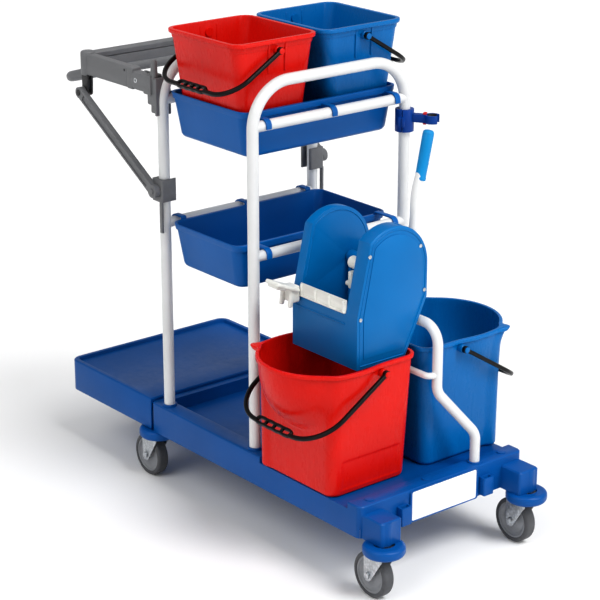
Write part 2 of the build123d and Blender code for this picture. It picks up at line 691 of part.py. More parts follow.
def wringer_panel():
    """Inset panel on the outer face of the front housing."""
    slab = wringer_slab(WR_X1, WR_X1 + 1.6, 17.0)
    return slab & block(WR_X1 - 1, WR_X1 + 3, WR_Y0 - 5, WR_Y1 + 5, WR_Z0 + 22,
                        WR_ARCH_Z + WR_ARCH_R)


def wringer_screws():
    """Screw heads on the outer face of the front housing."""
    out = []
    spots = [(-128.0, 690.0), (10.0, 686.0), (-151.5, 560.0), (23.0, 588.0)]
    for y, z in spots:
        out.append(rod_x(y, z, WR_X1, WR_X1 + 1.5, 4.0))
    return out


def rib_plate():
    """Ribbed guide plate on top of the near wall."""
    x_in0 = WR_X0 + WR_WALL_A + 1
    x_in1 = WR_X1 - WR_WALL_B - 1
    body = block(x_in0, x_in1, WR_Y0 + 1, WR_Y0 + 4, WR_ZN, WR_ZN + 28)
    for i in range(4):
        x = x_in0 + 6 + i * (x_in1 - x_in0 - 12) / 3
        body += block(x - 2, x + 2, WR_Y0 - 4, WR_Y0 + 1.5, WR_ZN, WR_ZN + 26)
    body += block(x_in0, x_in1, WR_Y0 - 4, WR_Y0 + 4, WR_ZN, WR_ZN + 3)
    return body


def press_roller():
    """Guide roller on the inner side of the front housing."""
    x_in1 = WR_X1 - WR_WALL_B
    return fillet(rod_x(-98, 652, x_in1 - 56, x_in1, 13.0).edges().group_by(Axis.X)[0], 5.0)


def press_catch():
    """Catch below the roller."""
    x_in1 = WR_X1 - WR_WALL_B
    body = soft_block(x_in1 - 34, x_in1, -106, -92, 598, 630, 3.0, Axis.X)
    return body + block(x_in1 - 46, x_in1 - 33, -103, -96, 600, 608)


def press_shaft():
    """Shaft of the press, with the lever hub."""
    x_hub = WR_X1 - WR_WALL_B / 2
    body = rod_x(PIV_Y, PIV_Z, WR_X0 + 11, WR_X1 - 8, SHAFT_R)
    return body + rod_x(PIV_Y, PIV_Z, x_hub - 10.5, x_hub + 10.5, 14.0)


def press_plate():
    """Ribbed press plate hung from the shaft."""
    x0 = WR_X0 + WR_WALL_A + 2
    x1 = WR_X1 - WR_WALL_B - 2
    body = rod_x(PIV_Y, PIV_Z, x0, x1, SHAFT_R + 6)
    body += prism_x([(PIV_Y - 7, PIV_Z - 4), (PIV_Y + 7, PIV_Z - 4), (PIV_Y - 4, PIV_Z - 150),
                     (PIV_Y - 10, PIV_Z - 150)], x0, x1)
    for i in range(5):
        x = x0 + 12 + i * (x1 - x0 - 24) / 4
        body += prism_x([(PIV_Y - 5, PIV_Z - 20), (PIV_Y - 14, PIV_Z - 24),
                         (PIV_Y - 15, PIV_Z - 146), (PIV_Y - 8, PIV_Z - 146)], x - 3, x + 3)
    return body - rod_x(PIV_Y, PIV_Z, x0 - 5, x1 + 5, SHAFT_R)


def lever_piece(r, s0, s1):
    """Round bar along the lever's line between two distances from its pivot."""
    x_hub = WR_X1 - WR_WALL_B / 2
    bar = Pos(0, 0, (s0 + s1) / 2) * Cylinder(r, s1 - s0)
    return Pos(x_hub, PIV_Y, PIV_Z) * Rot(-LEVER_LEAN, 0, 0) * bar


def lever_tube():
    """Lever tube from the hub to the grip."""
    body = lever_piece(LEVER_R, 8.0, LEVER_L - 8) - lever_piece(LEVER_R - TUBE_T, 24.0, LEVER_L)
    return body - press_shaft()


def lever_grip():
    """Grip sleeve with a rounded end."""
    body = lever_piece(GRIP_R, LEVER_L - GRIP_L, LEVER_L)
    body = fillet(body.edges().group_by(Axis.Z)[-1], 6.0)
    return body - lever_piece(LEVER_R, LEVER_L - GRIP_L - 5, LEVER_L - 8)


def selector_lever():
    """Flat release lever on the near wall with two prongs."""
    x0 = WR_X0 + 6
    x1 = WR_X0 + 20
    y_in = WR_Y0 - FACE
    y_c = y_in - 7
    body = prism_x([(y_c - 4, 575), (y_c - 4, 583), (y_in - 60, 604), (y_in - 62, 598),
                    (y_in - 22, 577)], x0 - 12, x1 + 12)
    for px in (x0 - 9, x1 + 3):
        body += block(px, px + 6, y_in - 26, y_in - 16, 550, 582)
    body += block(x0, x1, y_c - 8, y_c, 575, 583)
    body += rod_x(y_c, 578, x0, x1, 6.5)
    body -= rod_x(y_c, 578, x0 - 12.5, x0 - 0.01, 8.5)
    body -= rod_x(y_c, 578, x1 + 0.01, x1 + 12.5, 8.5)
    return body - rod_x(y_c, 578, x0 - 2, x1 + 2, 3.0 + RUN)


def selector_ears():
    """Pin and ears that carry the release lever."""
    x0 = WR_X0 + 6
    x1 = WR_X0 + 20
    y_c = WR_Y0 - FACE - 7
    body = rod_x(y_c, 578, x0 - 4.5, x1 + 4.0, 3.0)
    for a, b in ((x0 - 4.5, x0 - 0.5), (x1 + 0.5, x1 + 4.0)):
        body += block(a, b, y_c, WR_Y0 + 2, 556, 564)
        body += block(a, b, y_c - 4, WR_Y0 - 0.2, 556, 582)
    return body


def wringer_tube():
    """Bent support tube between the buckets."""
    pts = [(ST_FOOT_X, ST_FOOT_Y, POST_FOOT), (ST_FOOT_X, ST_FOOT_Y, 266),
           (ST_XF, ST_Y, 372), (ST_XF, ST_Y, ST_Z), (ST_XR, ST_Y, ST_Z),
           (ST_XR, ST_Y, POST_FOOT)]
    return tube(pts, 42.0, ST_R, ST_R - TUBE_T)


def wringer_brace():
    """Low brace between the legs of the support tube."""
    pts = [(ST_XF, ST_Y, BRACE_Z), (ST_XF, 0, BRACE_Z), (ST_XR, 0, BRACE_Z),
           (ST_XR, ST_Y, BRACE_Z)]
    body = tube(pts, 13.0, BRACE_R)
    body -= rod(ST_XF, ST_Y, BRACE_Z - 30, BRACE_Z + 30, ST_R)
    return body - rod(ST_XR, ST_Y, BRACE_Z - 30, BRACE_Z + 30, ST_R)


# ---- bag holder ---------------------------------------------------------
def bag_arm():
    """Right-hand arm of the bag holder, round at its hinge."""
    z0 = FOLD_Z - ARM_H / 2
    z1 = FOLD_Z + ARM_H / 2
    body = block(BAR_X - BAR_W / 2, FOLD_X, -ARM_Y1, -ARM_Y0, z0, z1)
    body += rod_y(FOLD_X, FOLD_Z, -ARM_Y1, -ARM_Y0, ARM_H / 2)
    body += rod(BAR_X + 2, -(ARM_Y0 + ARM_Y1) / 2, z0 - 2, z1 + 4, 16.0)
    for hx in (BAR_X + 8, FOLD_X - 26):
        body -= rod_y(hx, z1 - 9, -ARM_Y1 - 6, -ARM_Y1 + 6, 2.5)
    return body - rod_y(FOLD_X, FOLD_Z, -ARM_Y1 - 5, -ARM_Y0 + 5, 6.0 + RUN)


def bag_bar():
    """Rear cross bar of the bag holder with a lid ledge."""
    z1 = FOLD_Z + ARM_H / 2
    body = soft_block(BAR_X - BAR_W / 2, BAR_X + BAR_W / 2, -ARM_Y0, ARM_Y0, z1 - BAR_H, z1,
                      4.0, Axis.Y)
    body -= block(BAR_X + BAR_W / 2 - 3, BAR_X + BAR_W, -ARM_Y0 - 5, ARM_Y0 + 5, z1 - 15, z1 - 13)
    for sgn in (-1, 1):
        body -= rod(BAR_X + 2, sgn * (ARM_Y0 + ARM_Y1) / 2, z1 - 60, z1 + 10, 16.0)
    return body


def push_handle():
    """Bent handle behind the bag holder."""
    pts = [(BAR_X - 4, -GRAB_Y, FOLD_Z - 20), (GRAB_X, -GRAB_Y, GRAB_Z),
           (GRAB_X, GRAB_Y, GRAB_Z), (BAR_X - 4, GRAB_Y, FOLD_Z - 20)]
    body = tube(pts, 34.0, GRAB_R)
    z1 = FOLD_Z + ARM_H / 2
    body -= block(BAR_X - BAR_W / 2, BAR_X + BAR_W / 2, -ARM_Y0, ARM_Y0, z1 - BAR_H, z1)
    for sgn in (-1, 1):
        body -= rod(BAR_X + 2, sgn * (ARM_Y0 + ARM_Y1) / 2, z1 - 80, z1 + 10, 16.0)
    return body


def strut_hanger():
    """Black plate under the arm that carries the strut."""
    sx, sz = STRUT_TOP
    y0 = -ARM_Y1
    y1 = -(POST_Y + TUBE_R + 1.4)
    body = block(sx - 9, sx + 14, y0, y1, sz - 9, FOLD_Z - ARM_H / 2)
    body = fillet(body.edges().filter_by(Axis.Y).group_by(Axis.Z)[0], 8.0)
    body -= rod(BAR_X + 2, -(ARM_Y0 + ARM_Y1) / 2, 900, 1000, 16.0)
    return body + rod_y(sx, sz, -STRUT_Y1, y0, HOLE_R) + rod_y(sx, sz, -STRUT_Y1 - 3, -STRUT_Y1, 7.0)


def strut():
    """Right-hand strut from the hanger down to the sliding clamp."""
    x0, z0 = STRUT_TOP
    x1, z1 = POST_XR, CLAMP_Z
    length = hypot(x1 - x0, z1 - z0)
    ang = degrees(atan2(z1 - z0, x1 - x0))
    bar = block(0, length, -STRUT_Y1, -STRUT_Y0 - 0.3, -STRUT_W / 2, STRUT_W / 2)
    bar += rod_y(0, 0, -STRUT_Y1, -STRUT_Y0 - 0.3, STRUT_W / 2 + 1.5)
    bar += rod_y(length, 0, -STRUT_Y1, -STRUT_Y0 - 0.3, STRUT_W / 2 + 4)
    bar -= block(18, length - 22, -STRUT_Y1 - 1, -STRUT_Y1 + 3, -STRUT_W / 2 + 4, STRUT_W / 2 - 4)
    bar -= rod_y(0, 0, -STRUT_Y1 - 5, -STRUT_Y0 + 5, HOLE_R + RUN)
    bar += rod_y(length, 0, -STRUT_Y1 - 3, -STRUT_Y1, 7.0)
    return Pos(x0, 0, z0) * Rot(0, -ang, 0) * bar


def strut_clamp():
    """Clamp that slides on the rear post and carries the strut's foot."""
    z0 = CLAMP_Z - CLAMP_H / 2
    z1 = CLAMP_Z + CLAMP_H / 2
    body = soft_block(POST_XR - 20, POST_XR + 18, -STRUT_Y0 + 0.5, -POST_Y + 20, z0, z1, 5.0)
    body += block(POST_XR + 8, POST_XR + 17, -STRUT_Y0 + 0.5, -STRUT_Y0 + 5, z0 - 70, z0 + 2)
    body -= block(POST_XR - RAIL_R - FACE, POST_XR + RAIL_R + FACE, -POST_Y, -POST_Y + 25,
                  z0 - 75, z1 + 5)
    return body - rod(POST_XR, -POST_Y, z0 - 5, z1 + 5, TUBE_R + 0.1)


def post_bracket():
    """Bracket on the rear post with the cheeks of the fold hinge."""
    post = tube(frame_path(POST_XR), FRAME_BEND, TUBE_R + 0.02)
    x_a = FOLD_X + ARM_H / 2 + 1
    body = soft_block(POST_XR - 22, POST_XR + 12, -ARM_Y1, -POST_Y + 19, 884, 964, 4.0)
    body += block(x_a, POST_XR - 18, -ARM_Y1, -ARM_Y0, FOLD_Z - 25, FOLD_Z + 20)
    for y0, y1 in ((-ARM_Y1 - 4.5, -ARM_Y1 - 0.5), (-ARM_Y0 + 0.5, -ARM_Y0 + 4.5)):
        cheek = block(FOLD_X, POST_XR - 18, y0, y1, FOLD_Z - 22, FOLD_Z + 18)
        cheek += rod_y(FOLD_X, FOLD_Z, y0, y1, 17.0)
        body += cheek
    body += block(x_a, POST_XR - 18, -ARM_Y1 - 4.5, -ARM_Y0 + 4.5, FOLD_Z - 22, FOLD_Z + 18)
    body -= rod_y(FOLD_X, FOLD_Z, -ARM_Y1 - 10, -ARM_Y0 + 10, 6.0)
    body += rod(POST_XR - 14, -ARM_Y1 + 8, 960, 1004, 8.0)
    body -= rod_y(POST_XR, RAIL_HI, -POST_Y, -POST_Y + 40, RAIL_R + 0.05)
    return body - post


def fold_pin():
    """Hinge pin of the bag holder, held in the bracket."""
    body = rod_y(FOLD_X, FOLD_Z, -ARM_Y1 - 4.5, -ARM_Y0 + 4.5, 6.0)
    return body + rod_y(FOLD_X, FOLD_Z, -ARM_Y1 - 7, -ARM_Y1 - 4.5, 9.0)


# ---- clip ---------------------------------------------------------------
def clip_frame():
    """Location of the clip arm: origin on the post, X towards the jaw."""
    ang = degrees(atan2(JAW[1] - POST_Y, JAW[0]))
    return Pos(0, POST_Y, CLIP_Z) * Rot(0, 0, ang)


def clip_clamp():
    """Two half shells clamped round the front post."""
    z = CLIP_H / 2
    whole = Cylinder(CLIP_R, CLIP_H)
    whole += Box(14, 2 * CLIP_R + 18, 22)
    whole -= Cylinder(TUBE_R, CLIP_H + 2)
    halves = []
    for sgn in (-1, 1):
        cut = Pos(sgn * 50.6, 0, 0) * Box(100, 100, 100)
        halves.append(clip_frame() * (whole & cut))
    return halves


def clip_arm():
    """Arm from the clamp to the jaw, with the open jaw ring."""
    reach = hypot(JAW[0], JAW[1] - POST_Y)
    body = Pos((CLIP_R - 1 + reach - JAW_R + 3) / 2, 0, 6) * Box(
        reach - JAW_R - CLIP_R + 4, 16, 18)
    ring = Pos(reach, 0, 6) * (Cylinder(JAW_R, 18) - Cylinder(JAW_R - 4, 20))
    ring -= Pos(reach + 14, 0, 6) * Box(24, 19, 22)
    body += ring
    body -= Pos(reach, 0, 6) * Cylinder(JAW_R - 4, 24)
    body -= Cylinder(CLIP_R, 200)
    return clip_frame() * body


def clip_pads():
    """Rubber pads inside the jaw."""
    reach = hypot(JAW[0], JAW[1] - POST_Y)
    out = []
    ring = Pos(reach, 0, 6) * (Cylinder(JAW_R - 4, 17) - Cylinder(JAW_R - 7, 20))
    for sgn in (-1, 1):
        keep = Pos(reach - 2, sgn * 10, 6) * Box(18, 12, 20)
        out.append(clip_frame() * (ring & keep))
    return out


def clip_cam():
    """Red cap piece on the jaw."""
    reach = hypot(JAW[0], JAW[1] - POST_Y)
    body = Pos(reach - JAW_R + 1, 0, 6) * Box(7, 12, 26)
    ring = Pos(reach, 0, 6) * Cylinder(JAW_R, 18)
    hub = Pos((CLIP_R - 1 + reach - JAW_R + 3) / 2, 0, 6) * Box(
        reach - JAW_R - CLIP_R + 4, 16, 18)
    return clip_frame() * (body - ring - hub)


# ---- write --------------------------------------------------------------
def save(name, shapes):
    """Write one node, moved into the frame of the whole cart."""
    moved = [Pos(SHIFT_X, 0, 0) * s for s in solids_of(shapes)]
    whole = moved[0] if len(moved) == 1 else Compound(moved)
    export_step(whole, "parts/" + name + ".step")


def main():
    """Write every node of the cart."""
    os.makedirs("parts", exist_ok=True)
    save("chassis", [chassis()])
    save("rear_platform", [rear_platform()])
    save("label_plate", [label_plate()])
    save("bumper_rings", bumper_rings())
    places = {"fr": (SWIVEL_XF, -SWIVEL_Y), "fl": (SWIVEL_XF, SWIVEL_Y),
              "rr": (SWIVEL_XR, -SWIVEL_Y), "rl": (SWIVEL_XR, SWIVEL_Y)}
    for tag, (cx, cy) in places.items():
        save("castor_" + tag + "_fork", [castor_fork(cx, cy)])
        save("castor_" + tag + "_axle", [castor_axle(cx, cy)])
        save("castor_" + tag + "_rim", [wheel_rim(cx, cy)])
        save("castor_" + tag + "_tyre", [wheel_tyre(cx, cy)])
    save("front_frame", [tube_frame(0.0)])
    save("rear_frame", [tube_frame(POST_XR)])
    save("front_rails", cross_rails(0.0))
    save("rear_rails", cross_rails(POST_XR))
    save("upper_tray", [tray(UP_RIM, UP_X0, UP_X1, RAIL_HI, 0.0)])
    save("lower_tray", [tray(LO_RIM, LO_X0, LO_X1, RAIL_LO, 0.0)])
    save("small_bucket_right", [small_bucket()])
    save("small_bail_right", [small_bail()])
    save("small_bucket_left", [turned_small(small_bucket())])
    save("small_bail_left", [turned_small(small_bail())])
    save("mop_bucket_right", [mop_bucket()])
    save("mop_bail_right", [mop_bail()])
    save("mop_bucket_left", [turned_mop(mop_bucket())])
    save("mop_bail_left", [turned_mop(mop_bail())])
    save("wringer_shell", [wringer_shell()])
    save("wringer_panel", [wringer_panel()])
    save("wringer_screws", wringer_screws())
    save("wringer_rib_plate", [rib_plate()])
    save("wringer_guides", [press_roller(), press_catch()])
    save("press_shaft", [press_shaft()])
    save("press_plate", [press_plate()])
    save("lever_tube", [lever_tube()])
    save("lever_grip", [lever_grip()])
    save("release_lever", [selector_lever()])
    save("wringer_tube", [wringer_tube()])
    save("wringer_brace", [wringer_brace()])
    save("bag_arms", both(bag_arm()))
    save("bag_bar", [bag_bar()])
    save("push_handle", [push_handle()])
    save("strut_hangers", both(strut_hanger()))
    save("strut_right", [strut()])
    save("strut_left", [mirror(strut(), Plane.XZ)])
    save("strut_clamp_right", [strut_clamp()])
    save("strut_clamp_left", [mirror(strut_clamp(), Plane.XZ)])
    save("post_brackets", both(post_bracket()))
    save("fold_pins", both(fold_pin()))
    save("clip_clamp", clip_clamp())
    save("clip_arm", [clip_arm()])
    save("clip_pads", clip_pads())
    save("clip_cam", [clip_cam()])


if __name__ == "__main__":
    main()
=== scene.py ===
"""Looks of a housekeeping cart: its moulded, tubular and turned pieces with their finishes."""

import json
import logging
from abc import ABC, abstractmethod
from dataclasses import dataclass
from math import cos, pi, radians, sin
from typing import Sequence

import bpy
import numpy as np
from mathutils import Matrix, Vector


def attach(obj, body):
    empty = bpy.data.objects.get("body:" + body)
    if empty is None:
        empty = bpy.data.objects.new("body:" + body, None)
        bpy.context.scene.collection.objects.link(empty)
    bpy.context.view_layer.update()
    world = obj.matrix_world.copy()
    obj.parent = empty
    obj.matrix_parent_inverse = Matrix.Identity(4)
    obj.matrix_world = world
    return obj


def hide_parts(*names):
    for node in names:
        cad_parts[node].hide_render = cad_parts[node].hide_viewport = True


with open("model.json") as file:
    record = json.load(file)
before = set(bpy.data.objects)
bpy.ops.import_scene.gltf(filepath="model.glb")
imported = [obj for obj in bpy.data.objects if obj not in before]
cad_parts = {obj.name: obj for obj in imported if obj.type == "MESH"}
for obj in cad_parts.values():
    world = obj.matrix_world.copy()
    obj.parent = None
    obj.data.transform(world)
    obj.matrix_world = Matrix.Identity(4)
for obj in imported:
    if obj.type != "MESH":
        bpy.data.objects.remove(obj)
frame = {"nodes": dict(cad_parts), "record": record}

LOG = logging.getLogger("cart")
Array = np.ndarray
Colour = tuple[float, float, float]
MM = 0.001
FRONT_PLANE = np.array([124.5, 0.0, 0.0])     # the front frame's plane, where X is zero below
QUARTER = 6                                      # points on a quarter circle of a tub's profile
HALVINGS = 50                                    # steps of the search for a bucket's outline


# ---- surfaces ---------------------------------------------------------------
def rounded_outline(corners: Sequence[tuple[float, float]], radii: Sequence[float] | float,
                    steps: int = 8) -> Array:
    """Closed outline through corner points, each rounded by a circular arc.

    Each arc leaves its two sides at reach = radius / tan(half the corner angle) from the corner,
    and its points are centre + radius * (cos, sin) between the two touching directions.

    Args:
        corners: Corner points in order.
        radii: Radius of every corner, or one for all.
        steps: Points less one on each arc.

    Returns:
        Points as an array of shape (number, 2).
    """
    pts = np.asarray(corners, float)
    rad = np.broadcast_to(np.asarray(radii, float), len(pts))
    back = np.roll(pts, 1, 0) - pts
    ahead = np.roll(pts, -1, 0) - pts
    back /= np.linalg.norm(back, axis=1, keepdims=True)
    ahead /= np.linalg.norm(ahead, axis=1, keepdims=True)
    half = np.arccos(np.clip((back * ahead).sum(1), -1, 1)) / 2
    middle = back + ahead
    middle /= np.linalg.norm(middle, axis=1, keepdims=True)
    centre = pts + middle * (rad / np.sin(half))[:, None]
    start = pts + back * (rad / np.tan(half))[:, None] - centre
    end = pts + ahead * (rad / np.tan(half))[:, None] - centre
    a0 = np.arctan2(start[:, 1], start[:, 0])
    turn = (np.arctan2(end[:, 1], end[:, 0]) - a0 + pi) % (2 * pi) - pi
    t = np.linspace(0, 1, steps + 1)
    angle = a0[:, None] + turn[:, None] * t[None, :]
    ring = centre[:, None, :] + rad[:, None, None] * np.stack([np.cos(angle), np.sin(angle)], -1)
    return ring.reshape(-1, 2)


def rounded_rectangle(width: float, height: float, radius: float, steps: int = 6) -> Array:
    """Outline of a rounded rectangle about the origin, anticlockwise."""
    x, y = width / 2, height / 2
    return rounded_outline([(-x, -y), (x, -y), (x, y), (-x, y)], radius, steps)


def circle(radius: float, count: int = 32) -> Array:
    """Outline of a circle about the origin."""
    t = np.linspace(0, 2 * pi, count, endpoint=False)
    return radius * np.stack([np.cos(t), np.sin(t)], 1)


def grown(outline: Array, amount: Array) -> Array:
    """Outlines moved outwards by each amount along the corner normals of an anticlockwise outline.

    A point moves by amount / cos(half its turn) along the mean of its two side normals.

    Args:
        outline: Points of shape (number, 2).
        amount: Distances of shape (rings,).

    Returns:
        Points of shape (rings, number, 2).
    """
    side = np.roll(outline, -1, 0) - outline
    side /= np.maximum(np.linalg.norm(side, axis=1, keepdims=True), 1e-12)
    normal = np.stack([side[:, 1], -side[:, 0]], 1)
    mean = normal + np.roll(normal, 1, 0)
    mean /= np.linalg.norm(mean, axis=1, keepdims=True)
    stretch = 1 / np.clip((mean * normal).sum(1), 0.4, 1)
    return outline[None] + amount[:, None, None] * (mean * stretch[:, None])[None]


def smooth_path(points: Sequence[tuple[float, float, float]], radius: float | Sequence[float],
                steps: int = 14) -> Array:
    """Open line through 3-D points, its bends rounded by circular arcs.

    In each bend the points are centre + radius * (cos(a) * p + sin(a) * q), with p and q square to
    each other in the bend's plane and the arc touching both runs.

    Args:
        points: Route of the centre line.
        radius: Bend radius, one for all or one for each bend.
        steps: Points less one on each bend.

    Returns:
        Points of shape (number, 3).
    """
    pts = np.asarray(points, float)
    rad = np.broadcast_to(np.asarray(radius, float), max(len(pts) - 2, 0))
    parts = [pts[:1]]
    for here, before, after, r in zip(pts[1:-1], pts[:-2], pts[2:], rad):
        u = (before - here) / np.linalg.norm(before - here)
        v = (after - here) / np.linalg.norm(after - here)
        half = np.arccos(np.clip(u @ v, -1, 1)) / 2
        centre = here + (u + v) / np.linalg.norm(u + v) * r / np.sin(half)
        p = here + u * r / np.tan(half) - centre
        p /= np.linalg.norm(p)
        q = -u
        angle = np.linspace(0, pi - 2 * half, steps + 1)[:, None]
        parts.append(centre + r * (np.cos(angle) * p + np.sin(angle) * q))
    parts.append(pts[-1:])
    return np.concatenate(parts)


def carried(path: Array, outline: Array, up: Sequence[float], closed: bool = False) -> Array:
    """A section carried along a path, its second axis kept near one direction.

    Each ring is point + outline_x * side + outline_y * top, with side = tangent x up and
    top = side x tangent, all of length one.

    Args:
        path: Points of shape (number, 3).
        outline: Section of shape (count, 2).
        up: Direction of the section's second axis.
        closed: Whether the path ends where it starts.

    Returns:
        Rings of shape (number, count, 3).
    """
    if closed:
        step = np.roll(path, -1, 0) - path
        ahead = step / np.linalg.norm(step, axis=1, keepdims=True)
        tangent = ahead + np.roll(ahead, 1, 0)
    else:
        step = np.diff(path, axis=0)
        ahead = step / np.linalg.norm(step, axis=1, keepdims=True)
        tangent = np.concatenate([ahead[:1], ahead[:-1] + ahead[1:], ahead[-1:]])
    tangent /= np.linalg.norm(tangent, axis=1, keepdims=True)
    side = np.cross(tangent, np.asarray(up, float))
    side /= np.linalg.norm(side, axis=1, keepdims=True)
    top = np.cross(side, tangent)
    return (path[:, None] + outline[None, :, 0, None] * side[:, None]
            + outline[None, :, 1, None] * top[:, None])


def turned(profile: Sequence[tuple[float, float]], origin: Sequence[float], axis: Sequence[float],
           count: int = 48) -> Array:
    """A profile of (distance along the axis, radius) points turned round an axis.

    Each ring is origin + distance * axis + radius * (cos(t) * p + sin(t) * q).

    Args:
        profile: Distances and radii.
        origin: Where the distance is zero.
        axis: Direction of the axis.
        count: Points round the axis.

    Returns:
        Rings of shape (profile points, count, 3).
    """
    a = np.asarray(axis, float)
    a /= np.linalg.norm(a)
    p = np.cross(a, (0.3, 0.5, 0.8))
    p /= np.linalg.norm(p)
    q = np.cross(a, p)
    prof = np.asarray(profile, float)
    t = np.linspace(0, 2 * pi, count, endpoint=False)
    round_it = np.cos(t)[:, None] * p + np.sin(t)[:, None] * q
    return (np.asarray(origin, float) + prof[:, 0, None, None] * a
            + prof[:, 1, None, None] * round_it[None])


def edge_rounding(length: float, radius: float, steps: int = 4) -> tuple[Array, Array]:
    """Distances along a bar and the section's change there, for quarter-round ends.

    At angle a from each end the distance is radius * (1 - sin a) and the change -radius * (1 - cos a).

    Args:
        length: Length of the bar.
        radius: Radius of the rounded ends.
        steps: Points less one on each quarter circle.

    Returns:
        Distances and changes, from the near end to the far one.
    """
    a = np.linspace(pi / 2, 0, steps + 1)
    near = radius * (1 - np.sin(a))
    change = -radius * (1 - np.cos(a))
    return np.concatenate([near, length - near[::-1]]), np.concatenate([change, change[::-1]])


def slab(outline: Array, origin: Sequence[float], x_axis: Sequence[float], y_axis: Sequence[float],
         thickness: float, radius: float) -> Array:
    """An outline given a thickness along x_axis x y_axis, its edges rounded.

    Args:
        outline: Anticlockwise points of shape (count, 2).
        origin: Where the outline's own origin lies, on the near face.
        x_axis: Direction of the outline's first coordinate.
        y_axis: Direction of the outline's second coordinate.
        thickness: Distance between the two faces.
        radius: Radius of the rounded edges.

    Returns:
        Rings of shape (rings, count, 3).
    """
    along, change = edge_rounding(thickness, radius)
    flat = grown(outline, change)
    xa, ya = np.asarray(x_axis, float), np.asarray(y_axis, float)
    za = np.cross(xa, ya)
    return (np.asarray(origin, float) + flat[..., 0, None] * xa + flat[..., 1, None] * ya
            + along[:, None, None] * za)


class Skin:
    """Gathers closed grids of points into one mesh, with every face outwards."""

    def __init__(self) -> None:
        """Starts empty."""
        self._points: list[Array] = []
        self._faces: list[list[list[int]]] = []
        self._count = 0

    def add(self, rings: Array, loop: bool = False) -> "Skin":
        """Adds a grid that closes on itself: round each ring, and by caps or as a loop along them.

        The signed volume, a sixth of the summed products a . (b x c), tells whether its faces
        point outwards.

        Args:
            rings: Points of shape (rings, count, 3).
            loop: Whether the last ring joins the first instead of both being capped.

        Returns:
            This skin.
        """
        rows, count = rings.shape[:2]
        pts = rings.reshape(-1, 3)
        i = np.arange(rows if loop else rows - 1)[:, None]
        j = np.arange(count)[None, :]
        low, high = i * count, ((i + 1) % rows) * count
        quads = np.stack([low + j, low + (j + 1) % count, high + (j + 1) % count, high + j], -1)
        quads = quads.reshape(-1, 4)
        tris = np.zeros((0, 3), int)
        if not loop:
            pts = np.concatenate([pts, rings[0].mean(0)[None], rings[-1].mean(0)[None]])
            k = np.arange(count)
            first = np.stack([(k + 1) % count, k, np.full(count, rows * count)], 1)
            base = (rows - 1) * count
            last = np.stack([base + k, base + (k + 1) % count, np.full(count, rows * count + 1)], 1)
            tris = np.concatenate([first, last])
        parts = np.concatenate([quads[:, [0, 1, 2]], quads[:, [0, 2, 3]], tris])
        corner = pts[parts] - pts.mean(0)
        if np.einsum("ij,ij->i", corner[:, 0], np.cross(corner[:, 1], corner[:, 2])).sum() < 0:
            quads, tris = quads[:, ::-1], tris[:, ::-1]
        self._points.append(pts)
        self._faces.append((quads + self._count).tolist())
        self._faces.append((tris + self._count).tolist())
        self._count += len(pts)
        return self

    def piece(self, name: str, crease: float = 38.0) -> bpy.types.Object:
        """Makes the object at the origin, smooth but for edges sharper than the crease angle."""
        mesh = bpy.data.meshes.new(name)
        faces = [f for group in self._faces for f in group]
        points = (np.concatenate(self._points) + FRONT_PLANE) * MM
        mesh.from_pydata(points.tolist(), [], faces)
        mesh.polygons.foreach_set("use_smooth", np.ones(len(faces), bool))
        mesh.set_sharp_from_angle(angle=radians(crease))
        mesh.validate()
        obj = bpy.data.objects.new(name, mesh)
        bpy.context.scene.collection.objects.link(obj)
        return obj


# ---- finishes ---------------------------------------------------------------
def linear(red: int, green: int, blue: int) -> Colour:
    """Scene colour of a display colour given in steps of 0 to 255."""
    c = np.array([red, green, blue]) / 255
    return tuple(np.where(c <= 0.04045, c / 12.92, ((c + 0.055) / 1.055) ** 2.4).tolist())


